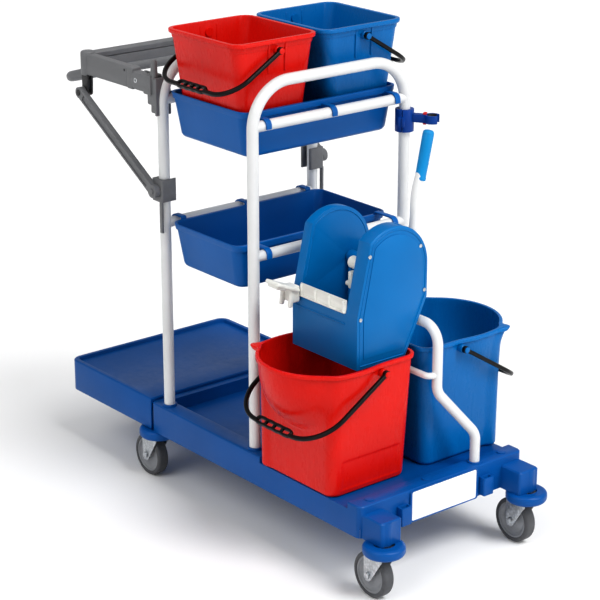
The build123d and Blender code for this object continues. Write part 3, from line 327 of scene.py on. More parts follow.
class Nodes:
    """Short way to place and join the nodes of one material."""

    def __init__(self, name: str) -> None:
        """Makes the material with a principled shader."""
        self.material = bpy.data.materials.new(name)
        self.material.use_nodes = True
        self.tree = self.material.node_tree
        self.shader = self.tree.nodes["Principled BSDF"]
        self.place = self.tree.nodes.new("ShaderNodeTexCoord").outputs["Object"]

    def stretched(self, scale: Sequence[float]) -> bpy.types.NodeSocket:
        """Object coordinates stretched along each axis."""
        node = self.tree.nodes.new("ShaderNodeMapping")
        node.inputs["Scale"].default_value = scale
        self.tree.links.new(self.place, node.inputs["Vector"])
        return node.outputs["Vector"]

    def noise(self, scale: float, detail: float = 3.0, rough: float = 0.5,
              vector: bpy.types.NodeSocket | None = None) -> bpy.types.NodeSocket:
        """Cloudy noise of a number of features per metre."""
        node = self.tree.nodes.new("ShaderNodeTexNoise")
        node.inputs["Scale"].default_value = scale
        node.inputs["Detail"].default_value = detail
        node.inputs["Roughness"].default_value = rough
        self.tree.links.new(vector or self.place, node.inputs["Vector"])
        return node.outputs["Fac"]

    def cells(self, scale: float) -> bpy.types.NodeSocket:
        """Distance to the nearest of scattered points."""
        node = self.tree.nodes.new("ShaderNodeTexVoronoi")
        node.inputs["Scale"].default_value = scale
        self.tree.links.new(self.place, node.inputs["Vector"])
        return node.outputs["Distance"]

    def spread(self, value: bpy.types.NodeSocket, low: float, high: float, to_low: float,
               to_high: float) -> bpy.types.NodeSocket:
        """Maps a range of a value onto another, held at its ends."""
        node = self.tree.nodes.new("ShaderNodeMapRange")
        limits = (("From Min", low), ("From Max", high), ("To Min", to_low), ("To Max", to_high))
        for name, number in limits:
            node.inputs[name].default_value = number
        self.tree.links.new(value, node.inputs["Value"])
        return node.outputs["Result"]

    def blend(self, factor: bpy.types.NodeSocket, a: Colour | bpy.types.NodeSocket,
              b: Colour | bpy.types.NodeSocket) -> bpy.types.NodeSocket:
        """Mixes two colours."""
        node = self.tree.nodes.new("ShaderNodeMix")
        node.data_type = "RGBA"
        self.tree.links.new(factor, node.inputs["Factor"])
        for socket, colour in ((node.inputs[6], a), (node.inputs[7], b)):
            if isinstance(colour, bpy.types.NodeSocket):
                self.tree.links.new(colour, socket)
            else:
                socket.default_value = (*colour, 1)
        return node.outputs[2]

    def bump(self, height: bpy.types.NodeSocket, depth: float,
             under: bpy.types.NodeSocket | None = None) -> bpy.types.NodeSocket:
        """Normal of a relief of a depth in metres, on top of another."""
        node = self.tree.nodes.new("ShaderNodeBump")
        node.inputs["Distance"].default_value = depth
        self.tree.links.new(height, node.inputs["Height"])
        if under is not None:
            self.tree.links.new(under, node.inputs["Normal"])
        return node.outputs["Normal"]

    def wire(self, value: bpy.types.NodeSocket, name: str) -> None:
        """Joins a value to a named input of the shader."""
        self.tree.links.new(value, self.shader.inputs[name])

    def fix(self, **numbers: float) -> None:
        """Sets plain numbers on the shader; underscores stand for spaces."""
        for name, number in numbers.items():
            self.shader.inputs[name.replace("_", " ")].default_value = number


@dataclass(frozen=True)
class Finish(ABC):
    """One finish of the cart: a base colour and how its surface is worked."""

    slot: str
    colour: Colour

    @abstractmethod
    def work(self, nodes: Nodes) -> None:
        """Adds the finish's own pattern to the nodes."""

    def shade(self, factor: float) -> Colour:
        """The base colour made lighter or darker."""
        return tuple(min(1.0, c * factor) for c in self.colour)

    def material(self) -> bpy.types.Material:
        """Makes the material."""
        nodes = Nodes("finish_" + self.slot)
        self.work(nodes)
        nodes.material.diffuse_color = (*self.colour, 1)
        return nodes.material


@dataclass(frozen=True)
class MouldedPlastic(Finish):
    """Injection-moulded plastic: fine eroded grain, slow colour drift and light scuffs."""

    rough: float = 0.34
    grain: float = 1400.0
    depth: float = 0.00003
    scuff: float = 0.12
    gloss: float = 0.2

    def work(self, nodes: Nodes) -> None:
        """Grain and long scuffs from noise; the drift darkens and lightens the colour by some percent."""
        drift = nodes.spread(nodes.noise(5.0, 2.0), 0.3, 0.7, 0, 1)
        body = nodes.blend(drift, self.shade(0.9), self.shade(1.07))
        marks = nodes.noise(26.0, 5.0, 0.7, nodes.stretched((2.0, 2.0, 0.6)))
        rubbed = nodes.spread(marks, 0.62, 0.8, 0, 0.18)
        nodes.wire(nodes.blend(rubbed, body, self.shade(1.25)), "Base Color")
        nodes.wire(nodes.spread(marks, 0.35, 0.75, self.rough, self.rough + self.scuff), "Roughness")
        relief = nodes.bump(nodes.noise(self.grain, 2.0), self.depth)
        nodes.wire(nodes.bump(nodes.noise(38.0, 2.0), self.depth * 6, relief), "Normal")
        nodes.fix(Specular_IOR_Level=self.gloss)


@dataclass(frozen=True)
class PowderCoat(Finish):
    """Baked powder paint on tube: orange-peel relief under a soft gloss."""

    rough: float = 0.28

    def work(self, nodes: Nodes) -> None:
        """Orange peel from two sizes of noise, with a faint dulling where hands and hooks rub."""
        rub = nodes.spread(nodes.noise(9.0, 4.0, 0.6), 0.45, 0.75, 0, 1)
        nodes.wire(nodes.blend(rub, self.colour, self.shade(0.93)), "Base Color")
        nodes.wire(nodes.spread(rub, 0, 1, self.rough, self.rough + 0.14), "Roughness")
        fine = nodes.bump(nodes.noise(700.0, 2.0), 0.00004)
        nodes.wire(nodes.bump(nodes.noise(220.0, 1.0), 0.00009, fine), "Normal")
        nodes.fix(Coat_Weight=0.25, Coat_Roughness=0.12)


@dataclass(frozen=True)
class ZincPlate(Finish):
    """Bright zinc on steel: clouded crystals and drawn lines."""

    def work(self, nodes: Nodes) -> None:
        """Crystals from scattered cells, drawn lines from noise stretched along the height."""
        cloud = nodes.spread(nodes.cells(160.0), 0.1, 0.7, 0, 1)
        nodes.wire(nodes.blend(cloud, self.shade(1.1), self.shade(0.78)), "Base Color")
        lines = nodes.noise(900.0, 2.0, 0.5, nodes.stretched((1.0, 1.0, 0.05)))
        nodes.wire(nodes.spread(lines, 0.3, 0.7, 0.24, 0.42), "Roughness")
        nodes.wire(nodes.bump(lines, 0.00003), "Normal")
        nodes.fix(Metallic=1.0)


@dataclass(frozen=True)
class TreadRubber(Finish):
    """Grey non-marking tread: matte, dusty, with fine pits."""

    def work(self, nodes: Nodes) -> None:
        """Dust from slow noise, pits from small cells."""
        dust = nodes.spread(nodes.noise(55.0, 6.0, 0.65), 0.42, 0.72, 0, 0.6)
        nodes.wire(nodes.blend(dust, self.colour, self.shade(1.7)), "Base Color")
        nodes.wire(nodes.spread(dust, 0, 1, 0.55, 0.85), "Roughness")
        pits = nodes.bump(nodes.cells(900.0), 0.00008)
        nodes.wire(nodes.bump(nodes.noise(2400.0, 2.0), 0.00004, pits), "Normal")
        nodes.fix(Specular_IOR_Level=0.35)


@dataclass(frozen=True)
class SatinNylon(Finish):
    """Filled nylon: dull, with spark-eroded texture and pale flow lines."""

    rough: float = 0.48

    def work(self, nodes: Nodes) -> None:
        """Texture from small cells, flow lines from noise drawn out along the length."""
        flow = nodes.spread(nodes.noise(14.0, 4.0, 0.6, nodes.stretched((0.6, 3.0, 3.0))), 0.4, 0.75, 0, 1)
        nodes.wire(nodes.blend(flow, self.shade(0.93), self.shade(1.12)), "Base Color")
        nodes.wire(nodes.spread(flow, 0, 1, self.rough, self.rough + 0.13), "Roughness")
        nodes.wire(nodes.bump(nodes.cells(1300.0), 0.00006), "Normal")
        nodes.fix(Specular_IOR_Level=0.42)


FINISHES: dict[str, Finish] = {f.slot: f for f in (
    MouldedPlastic("chassis_blue", linear(2, 78, 146), rough=0.3),
    MouldedPlastic("tray_blue", linear(0, 88, 158), rough=0.3),
    MouldedPlastic("bucket_blue", linear(0, 100, 166), rough=0.25, scuff=0.08),
    MouldedPlastic("bucket_red", linear(206, 22, 12), rough=0.25, scuff=0.08),
    MouldedPlastic("wringer_blue", linear(0, 106, 170), rough=0.3),
    MouldedPlastic("bail_black", linear(9, 9, 10), rough=0.3, depth=0.00002, scuff=0.04),
    PowderCoat("tube_white", linear(214, 215, 215)),
    SatinNylon("holder_grey", linear(108, 109, 111)),
    SatinNylon("hanger_black", linear(46, 46, 48)),
    ZincPlate("zinc_steel", linear(200, 203, 206)),
    SatinNylon("rim_grey", linear(132, 134, 138), rough=0.42),
    TreadRubber("tyre_grey", linear(74, 75, 78)),
    MouldedPlastic("plate_white", linear(238, 238, 238), rough=0.22, scuff=0.05),
    SatinNylon("guide_white", linear(222, 222, 216), rough=0.4),
    MouldedPlastic("grip_blue", linear(10, 130, 190), rough=0.36),
    MouldedPlastic("clip_blue", linear(4, 58, 132), rough=0.34),
    SatinNylon("clip_red", linear(196, 24, 24)),
    TreadRubber("pad_black", linear(26, 26, 27)),
)}


# ---- what every sub-assembly shares -------------------------------------------
class Wardrobe:
    """Keeps one material for each slot and dresses pieces with it."""

    def __init__(self) -> None:
        """Makes the material of every finish."""
        self._materials = {slot: finish.material() for slot, finish in FINISHES.items()}

    def material(self, slot: str) -> bpy.types.Material:
        """The material of a slot."""
        return self._materials[slot]

    def dress(self, obj: bpy.types.Object, slot: str) -> None:
        """Puts a slot's material on all of an object."""
        obj.data.materials.clear()
        obj.data.materials.append(self.material(slot))


@dataclass
class SubAssembly(ABC):
    """A group of pieces that is built and dressed together."""

    wardrobe: Wardrobe

    @abstractmethod
    def build(self) -> None:
        """Builds all pieces of the group."""

    def finish(self, skin: Skin, name: str, body: str, slot: str, nodes: Sequence[str],
               crease: float = 38.0) -> bpy.types.Object:
        """Makes a piece ride on its body and stand for its nodes.

        Args:
            skin: The piece's surfaces.
            name: Name of the piece.
            body: Body that it moves with.
            slot: Material slot.
            nodes: CAD nodes that it stands for.
            crease: Angle in degrees above which an edge stays sharp.

        Returns:
            The new object.
        """
        obj = skin.piece(name, crease)
        self.wardrobe.dress(obj, slot)
        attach(obj, body)
        if nodes:
            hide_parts(*nodes)
        LOG.info("%s: %d points, on %s", name, len(obj.data.vertices), body)
        return obj


# ---- pieces -------------------------------------------------------------------
def tub_profile(floor: float, top: float, wall: float, foot: float, lip: tuple[float, float],
                depth: float, soft: float = 2.0) -> Array:
    """Heights and plan changes of an open tub, from its underside over the rim to its inner floor.

    Round the foot the height is floor + foot * (1 - cos a) and the change -foot * (1 - sin a); the
    rim and the inner floor follow the same quarter circles with their own radii.

    Args:
        floor: Height of the underside.
        top: Height of the rim.
        wall: Thickness of the wall.
        foot: Radius round the foot.
        lip: How far the rim stands out along X and along Y.
        depth: Height of the rim's outer face.
        soft: Radius of the rim's edges.

    Returns:
        Rows of height, change along X and change along Y.
    """
    a = np.linspace(0, pi / 2, QUARTER)
    small = min(soft, wall / 2)
    rows = []
    for out in lip:
        edge = min(soft, max(out + small, 0.2))
        under = min(1.0, max(out, 0.0))
        change = np.concatenate([
            -foot * (1 - np.sin(a)), [0, 0, out - under, out], out - edge * (1 - np.cos(a)),
            -wall + small * (1 - np.sin(a)), -wall - foot * (1 - np.cos(a))])
        rows.append(change)
    inner = floor + wall
    height = np.concatenate([
        floor + foot * (1 - np.cos(a)), [top - depth - 0.6, top - depth, top - depth, top - depth + 1],
        top - soft * (1 - np.sin(a)), top - small * (1 - np.cos(a)), inner + foot * (1 - np.sin(a))])
    return np.stack([height, *rows], 1)


def tub(centre: tuple[float, float], low: tuple[float, float, float],
        high: tuple[float, float, float], corner: float, profile: Array, steps: int = 8) -> Array:
    """Rings of a tub whose plan grows in a straight line from floor to rim.

    At height z the plan is a rounded rectangle of low + (high - low) * (z - z_low) / (z_high - z_low),
    with twice the profile's changes added to its sides.

    Args:
        centre: Middle of the plan.
        low: Lengths along X and Y at the floor, and its height.
        high: Lengths along X and Y at the rim, and its height.
        corner: Corner radius of the plan.
        profile: Rows of height, change along X and change along Y.
        steps: Points less one on each corner.

    Returns:
        Rings of shape (rows, count, 3).
    """
    rings = []
    for z, dx, dy in profile:
        t = (z - low[2]) / (high[2] - low[2])
        length = low[0] + (high[0] - low[0]) * t + 2 * dx
        width = low[1] + (high[1] - low[1]) * t + 2 * dy
        flat = rounded_rectangle(length, width, max(corner + min(dx, dy), 2.0), steps)
        rings.append(np.column_stack([flat + np.asarray(centre), np.full(len(flat), z)]))
    return np.array(rings)


def bar(start: Sequence[float], end: Sequence[float], width: float, height: float, radius: float,
        up: Sequence[float]) -> Array:
    """Straight bar with a rounded rectangular section and rounded ends."""
    a, b = np.asarray(start, float), np.asarray(end, float)
    length = float(np.linalg.norm(b - a))
    along, change = edge_rounding(length, radius)
    axis = (b - a) / length
    side = np.cross(axis, np.asarray(up, float))
    side /= np.linalg.norm(side)
    top = np.cross(side, axis)
    flat = grown(rounded_rectangle(width, height, radius, 4), change * 0.8)
    return (a + along[:, None, None] * axis + flat[..., 0, None] * side + flat[..., 1, None] * top)


class Tubes(SubAssembly):
    """Two upturned tube frames, their cross rails, and the wringer's bent support."""

    post_y: float = 210.6
    post_foot: float = 150.0
    top: float = 1005.0
    rear_x: float = -317.0
    rail_heights: tuple[float, float] = (636.5, 916.6)
    support_y: float = 24.0
    support_feet: tuple[float, float] = (353.0, 21.0)
    support_top: float = 517.0
    brace_height: float = 412.0

    def build(self) -> None:
        for name, x in (("front", 0.0), ("rear", self.rear_x)):
            self.frame(name, x)
            self.rails(name, x)
        self.support()
        self.brace()

    def frame(self, name: str, x: float, bend: float = 95.0, radius: float = 12.5) -> None:
        """One upturned U."""
        y, foot, top = self.post_y, self.post_foot, self.top
        path = smooth_path([(x, -y, foot), (x, -y, top), (x, y, top), (x, y, foot)], bend, 20)
        skin = Skin().add(carried(path, circle(radius, 48), (1, 0, 0)))
        self.finish(skin, name + "_frame_skin", "cart", "tube_white", [name + "_frame"])

    def rails(self, name: str, x: float, radius: float = 11.7, rings: int = 9) -> None:
        """Two rails, their ends inside the posts."""
        skin = Skin()
        reach = self.post_y - 5.0
        for z in self.rail_heights:
            path = np.stack([np.full(rings, x), np.linspace(-reach, reach, rings), np.full(rings, z)], 1)
            skin.add(carried(path, circle(radius, 44), (0, 0, 1)))
        self.finish(skin, name + "_rails_skin", "cart", "tube_white", [name + "_rails"])

    def support(self, bend: float = 42.0, radius: float = 11.0) -> None:
        """The bent tube between the mop buckets: a cranked front leg, a level top and a straight leg."""
        y, foot, top = self.support_y, self.post_foot, self.support_top
        front, back = self.support_feet
        path = smooth_path([(front, 109, foot), (front, 109, 266), (321, y, 372), (321, y, top),
                            (back, y, top), (back, y, foot)], bend, 16)
        skin = Skin().add(carried(path, circle(radius, 44), (0, 1, 0)))
        self.finish(skin, "wringer_tube_skin", "cart", "tube_white", ["wringer_tube"])

    def brace(self, bend: float = 13.0, radius: float = 7.0) -> None:
        """The thin bar that joins the support's legs."""
        y, z, back = self.support_y, self.brace_height, self.support_feet[1]
        path = smooth_path([(321, y, z), (321, 0, z), (back, 0, z), (back, y, z)], bend, 10)
        skin = Skin().add(carried(path, circle(radius, 32), (0, 0, 1)))
        self.finish(skin, "wringer_brace_skin", "cart", "tube_white", ["wringer_brace"])


class Wheels(SubAssembly):
    """Tyres and rims of the four castors, and the round bumpers above them."""

    radius: float = 50.0
    bore: float = 40.5
    half_width: float = 13.5
    shoulder: float = 6.0
    trail: float = 30.0
    spots: dict[str, tuple[float, float]] = {
        "fr": (418.0, -205.0), "fl": (418.0, 205.0), "rr": (-372.0, -205.0), "rl": (-372.0, 205.0)}

    def build(self) -> None:
        bumpers = Skin()
        for tag, (x, y) in self.spots.items():
            hub = (x - self.trail, y, self.radius)
            for part, skin in (("tyre", self.tyre(hub)), ("rim", self.rim(hub))):
                self.finish(skin, f"castor_{tag}_{part}_skin", "wheel_" + tag, part + "_grey",
                            [f"castor_{tag}_{part}"])
            self.bumper(bumpers, x, y)
        self.finish(bumpers, "bumper_ring_skin", "cart", "chassis_blue", ["bumper_rings"])

    def tyre(self, hub: tuple[float, float, float]) -> Skin:
        """Tread ring with rounded shoulders."""
        w, edge = self.half_width, 0.6
        outline = rounded_outline([(-w, self.bore), (w, self.bore), (w, self.radius), (-w, self.radius)],
                                  (edge, edge, self.shoulder, self.shoulder), 8)
        return Skin().add(turned(outline, hub, (0, 1, 0), 96), loop=True)

    def rim(self, hub: tuple[float, float, float]) -> Skin:
        """Dished wheel centre with a hub, the same on both sides."""
        side = [(13.5, 4.1), (14.8, 10.5), (8.0, 13.5), (5.0, 29.0), (8.5, 35.0), (11.5, 36.5),
                (11.5, 41.2)]
        rounding = [0.4, 1.2, 2.5, 4.0, 3.0, 1.0, 0.4]
        corners = side[::-1] + [(-d, r) for d, r in side]
        outline = rounded_outline(corners, rounding[::-1] + rounding, 5)
        return Skin().add(turned(outline, hub, (0, 1, 0), 72), loop=True)

    def bumper(self, skin: Skin, x: float, y: float) -> None:
        """Ring with a neck up to the chassis."""
        outline = rounded_outline([(129, 22.5), (129, 37), (126.5, 45), (105, 45), (105, 22.5)],
                                  (0.5, 2.0, 8.0, 10.0, 6.0), 10)
        skin.add(turned(outline, (x, y, 0), (0, 0, 1), 72), loop=True)


class Trays(SubAssembly):
    """Two open trays that hang between the frames on hooks over the rails."""

    depth: float = 101.0
    wall: float = 3.0
    foot: float = 11.0
    lip: tuple[float, float] = (6.0, 0.3)
    lip_depth: float = 14.0
    taper: float = 14.0
    widths: tuple[float, float] = (392.0, 425.4)
    corner: float = 24.0
    rear_x: float = -317.0
    hook_rows: tuple[float, float, float] = (-178.0, 0.0, 178.0)

    def build(self) -> None:
        self.tray("upper_tray", 941.0, -290.0, -28.0, 916.6)
        self.tray("lower_tray", 645.0, -290.0, -56.0, 636.5)

    def tray(self, name: str, rim: float, x0: float, x1: float, rail: float) -> None:
        """One tray with its lip and six hooks."""
        length, middle = x1 - x0, (x0 + x1) / 2
        floor = rim - self.depth
        profile = tub_profile(floor, rim, self.wall, self.foot, self.lip, self.lip_depth)
        skin = Skin().add(tub((middle, 0), (length - self.taper, self.widths[0], floor),
                              (length, self.widths[1], rim), self.corner, profile))
        for y in self.hook_rows:
            self.hook(skin, 0.0, x1 + 3, 1, y, rail, rim)
            self.hook(skin, self.rear_x, x0 - 3, -1, y, rail, rim)
        self.finish(skin, name + "_skin", "cart", "tray_blue", [name])

    def hook(self, skin: Skin, rail_x: float, wall: float, side: int, y: float, rail: float,
             rim: float, reach: float = 13.8) -> None:
        """One hook: up from the wall, across and down round the far side of the rail."""
        high = rail + reach
        path = smooth_path([(wall, y, rim - 22), (wall, y, high), (rail_x + side * reach, y, high),
                            (rail_x + side * reach, y, rail - 6)], (3.5, reach - 0.4), 10)
        skin.add(carried(path, rounded_rectangle(14.0, 3.8, 1.4, 3), (1, 0, 0.35)))


@dataclass
class BailShape:
    """A bail drawn flat: pivots on the X axis, grip with windows at -Y."""

    half: float
    length: float
    bend: float
    window: float
    width: float = 9.6
    thick: float = 9.0

    def rings(self) -> list[tuple[Array, bool]]:
        """All closed grids of the bail, with whether each is a loop.

        Both long edges of the grip wave by 0.4 * cos(2 pi x / window).
        """
        out: list[tuple[Array, bool]] = []
        section = rounded_rectangle(self.width, self.thick, 3.2, 4)
        inner = self.window * 2 + 2
        for s in (-1, 1):
            leg = smooth_path([(s * self.half, 5, 0), (s * self.half, -self.length, 0),
                               (s * inner, -self.length, 0)], self.bend, 16)
            out.append((carried(leg, section, (0, 0, 1)), False))
            eye = [(-3.5, 7.0), (-2.9, 8.0), (2.9, 8.0), (3.5, 7.0)]
            out.append((turned(eye, (s * self.half, 0, 0), (1, 0, 0), 32), False))
        flat = rounded_rectangle(self.window * 4 + 5, 14.0, 6.2, 6)
        flat = np.concatenate([self.between(a, b) for a, b in zip(flat, np.roll(flat, -1, 0))])
        wave = 0.4 * np.cos(2 * pi * flat[:, 0] / self.window) * (np.abs(flat[:, 1]) > 6.5)
        loop = np.stack([flat[:, 0], flat[:, 1] - wave * np.sign(flat[:, 1]) - self.length + 3,
                         np.zeros(len(flat))], 1)
        out.append((carried(loop, rounded_rectangle(5.6, self.thick, 2.0, 4), (0, 0, 1), closed=True),
                    True))
        for i in (-1, 0, 1):
            x = i * self.window
            out.append((bar((x, -self.length - 3, 0), (x, -self.length + 9, 0), 4.6, self.thick - 1.5,
                            1.5, (0, 0, 1)), False))
        return out

    @staticmethod
    def between(a: Array, b: Array, step: float = 3.0) -> Array:
        """Points from a up to, but not including, b."""
        count = max(1, int(np.linalg.norm(b - a) / step))
        return a + (b - a) * np.linspace(0, 1, count, endpoint=False)[:, None]


class Buckets(SubAssembly):
    """What the two kinds of bucket share: bails, pivots and the half turn of the left-hand ones."""

    wall: float = 3.0

    def mirrored(self, rings: Array, x: float, side: str) -> Array:
        """The left-hand piece is the right-hand one turned half round about x."""
        if side == "right":
            return rings
        return rings * (-1, -1, 1) + (2 * x, 0, 0)

    def pivots(self, x: float, y: float, z: float, start: float, half: float) -> list[Array]:
        """Boss, pin and head on both sides."""
        profile = [(start, 9.5), (half - 6.0, 9.0), (half - 5.0, 8.0), (half - 5.0, 4.0),
                   (half + 4.7, 4.0), (half + 4.7, 6.8), (half + 6.0, 6.2), (half + 6.5, 4.5)]
        return [turned(profile, (x, y, z), (s, 0, 0), 32) for s in (-1, 1)]

    def bail(self, shape: BailShape, tilt: float, place: tuple[float, float, float], kind: str,
             side: str) -> None:
        """The flat bail tilted about X and set on its pivots."""
        c, s = cos(radians(tilt)), sin(radians(tilt))
        skin = Skin()
        for rings, loop in shape.rings():
            y, z = rings[..., 1] * c - rings[..., 2] * s, rings[..., 1] * s + rings[..., 2] * c
            put = np.stack([rings[..., 0], y, z], -1) + place
            skin.add(self.mirrored(put, place[0], side), loop)
        name = f"{kind}_bail_{side}"
        self.finish(skin, name + "_skin", name, "bail_black", [name])


class SmallBuckets(Buckets):
    """The two small rectangular buckets that stand in the upper tray."""

    x: float = -153.0
    y: float = -119.0
    floor: float = 843.2
    top: float = 1085.0
    low: tuple[float, float] = (222.0, 144.0)
    high: tuple[float, float] = (240.0, 216.0)
    corner: float = 24.0
    drop: float = 24.0

    def build(self) -> None:
        for side, colour in (("right", "bucket_red"), ("left", "bucket_blue")):
            self.bucket(side, colour)
            self.bail(BailShape(132.5, 158.0, 62.0, 22.0), 31.0, (self.x, self.y, self.top - self.drop),
                      "small", side)

    def shell(self, profile: Array) -> Array:
        """Rings that follow the bucket's plan."""
        return tub((self.x, self.y), (*self.low, self.floor), (*self.high, self.top), self.corner,
                   profile)

    def bucket(self, side: str, colour: str) -> None:
        """Tub with a rolled rim, pivots, two ribs beside each pivot and a step below the rim."""
        skin = Skin()
        profile = tub_profile(self.floor, self.top, self.wall, 9.0, (7.0, 7.0), 9.0, 3.0)
        skin.add(self.mirrored(self.shell(profile), self.x, side))
        band = np.array([(self.top - 20, -1, -1), (self.top - 19.2, 1.6, 1.6), (self.top - 9, 2.2, 2.2),
                         (self.top - 8.6, -1, -1)])
        skin.add(self.mirrored(self.shell(band), self.x, side), loop=True)
        pivot_z = self.top - self.drop
        for rings in self.pivots(self.x, self.y, pivot_z, 112.0, 132.5):
            skin.add(self.mirrored(rings, self.x, side))
        for s in (-1, 1):
            for across in (-22.0, 22.0):
                rib = bar((self.x + s * 116.5, self.y + across, pivot_z - 46),
                          (self.x + s * 119.5, self.y + across, self.top - 8), 8.0, 4.2, 1.6, (0, 1, 0))
                skin.add(self.mirrored(rib, self.x, side))
        self.finish(skin, f"small_bucket_{side}_skin", f"small_bucket_{side}", colour,
                    [f"small_bucket_{side}"])


class MopBuckets(Buckets):
    """The two large buckets: a tapered box that grows a round belly and a pointed spout."""

    x: float = 172.0
    floor: float = 186.0
    top: float = 463.0
    belly_z: float = 306.0
    belly_r: float = 131.0
    belly_y: float = -170.0
    middle_y: float = -126.0
    pivot_y: float = -112.0
    drop: float = 19.0
    half_x: tuple[float, float] = (114.0, 11.0)      # at the floor, and its growth up to the rim
    half_y: tuple[float, float] = (104.0, 10.0)
    centre_y: tuple[float, float] = (-130.0, 4.0)
    corner: tuple[float, float] = (24.0, 4.0)
    power: float = 2.5
    spout_rise: float = 46.0
    panel_depth: float = 1.3
    count: int = 320

    def build(self) -> None:
        for side, colour in (("right", "bucket_red"), ("left", "bucket_blue")):
            self.bucket(side, colour)
            self.bail(BailShape(142.0, 218.0, 84.0, 26.0), 32.0,
                      (self.x, self.pivot_y, self.top - self.drop), "mop", side)

    def distance(self, px: Array, py: Array, z: Array) -> Array:
        """Signed distance in plan to the bucket's outer face at each height.

        The box is |p - c| - (half - r) beyond its corners; the belly is a circle of radius
        R * (1 - t^2.5)^(1 / 2.5) with t running from 1 at its lower end to 0 at the rim; the spout is a
        small circle that leaves the corner towards the rim. Each pair is joined with the smooth least
        value min(a, b) - h^2 * k / 4, h = max(k - |a - b|, 0) / k.
        """
        t = (z - self.floor) / (self.top - self.floor)
        half_x, half_y, cy, corner = (
            base + growth * t for base, growth in (self.half_x, self.half_y, self.centre_y, self.corner))
        qx = np.abs(px - self.x) - (half_x - corner)
        qy = np.abs(py - cy) - (half_y - corner)
        box = np.hypot(np.maximum(qx, 0), np.maximum(qy, 0)) + np.minimum(np.maximum(qx, qy), 0) - corner
        fall = np.clip((self.top - z) / (self.top - self.belly_z), 0, 1)
        radius = self.belly_r * (1 - fall ** self.power) ** (1 / self.power)
        belly = np.hypot(px - self.x, py - self.belly_y) - radius
        rise = np.clip((z - self.top + self.spout_rise) / self.spout_rise, 0, 1) ** 1.6
        tip = np.hypot(px - (62 - 17 * rise), py + (224 + 20 * rise)) - (12 - 6 * rise)
        return self.joined(self.joined(box, belly, 14.0), tip, 18.0)

    @staticmethod
    def joined(a: Array, b: Array, k: float) -> Array:
        """Smooth least value of two distances."""
        h = np.maximum(k - np.abs(a - b), 0) / k
        return np.minimum(a, b) - h * h * k / 4

    def rings(self, profile: Array) -> Array:
        """Rings of the bucket: each row's points lie where the distance is that row's change.

        Each point is found by halving the range of radii over and over.
        """
        angle = np.linspace(0, 2 * pi, self.count, endpoint=False)[None]
        z, change = profile[:, :1], profile[:, 1:2]
        low, high = np.zeros((len(profile), self.count)), np.full((len(profile), self.count), 260.0)
        for _ in range(HALVINGS):
            r = (low + high) / 2
            px, py = self.x + r * np.cos(angle), self.middle_y + r * np.sin(angle)
            inside = self.distance(px, py, z) < change
            low, high = np.where(inside, r, low), np.where(inside, high, r)
        x, y = self.x + low * np.cos(angle), self.middle_y + low * np.sin(angle)
        return np.stack([x, y, np.broadcast_to(z, x.shape)], -1)

    def recessed(self, rings: Array) -> Array:
        """Sinks a panel and a groove below it into the +X face.

        The depth is panel_depth times the product of smooth steps across y and z at the four edges.
        """
        out = rings.copy()
        x, y, z = rings[..., 0], rings[..., 1], rings[..., 2]

        def step(v: Array, edge: float) -> Array:
            """Rises from 0 to 1 within 3 mm of the edge."""
            u = np.clip((v - edge) / 3.0 + 0.5, 0, 1)
            return u * u * (3 - 2 * u)

        panel = step(y, -206) * step(-y, 50) * step(z, 200) * step(-z, -264)
        groove = step(y, -212) * step(-y, 44) * step(z, 192) * step(-z, -196.5)
        out[..., 0] -= self.panel_depth * (panel + groove) * (x > self.x + 90)
        return out

    def bucket(self, side: str, colour: str) -> None:
        """Tub with a belly, a spout, a hanging ledge and pivots."""
        profile = tub_profile(self.floor, self.top, self.wall, 9.0, (4.9, 4.9), 9.0, 2.6)
        rise = np.concatenate([np.arange(197.0, 270.0, 2.4), np.arange(273.0, 304.0, 10.0),
                               np.arange(306.0, 452.0, 2.6)])
        middle = np.stack([rise, np.zeros(len(rise)), np.zeros(len(rise))], 1)
        inner = np.arange(450.0, 300.0, -5.0)
        down = np.stack([inner, np.full(len(inner), -self.wall), np.full(len(inner), -self.wall)], 1)
        rim = profile[QUARTER:-QUARTER]
        rows = np.concatenate([profile[:QUARTER], middle, rim, down, profile[-QUARTER:]])
        skin = Skin().add(self.mirrored(self.recessed(self.rings(rows)), self.x, side))
        ledge = bar((self.x - 70, -13.7, self.top - 19), (self.x + 70, -13.7, self.top - 19), 2.6, 22.0,
                    1.0, (0, 0, 1))
        skin.add(self.mirrored(ledge, self.x, side))
        for rings in self.pivots(self.x, self.pivot_y, self.top - self.drop, 117.0, 142.0):
            skin.add(self.mirrored(rings, self.x, side))
        self.finish(skin, f"mop_bucket_{side}_skin", f"mop_bucket_{side}", colour,
                    [f"mop_bucket_{side}"])


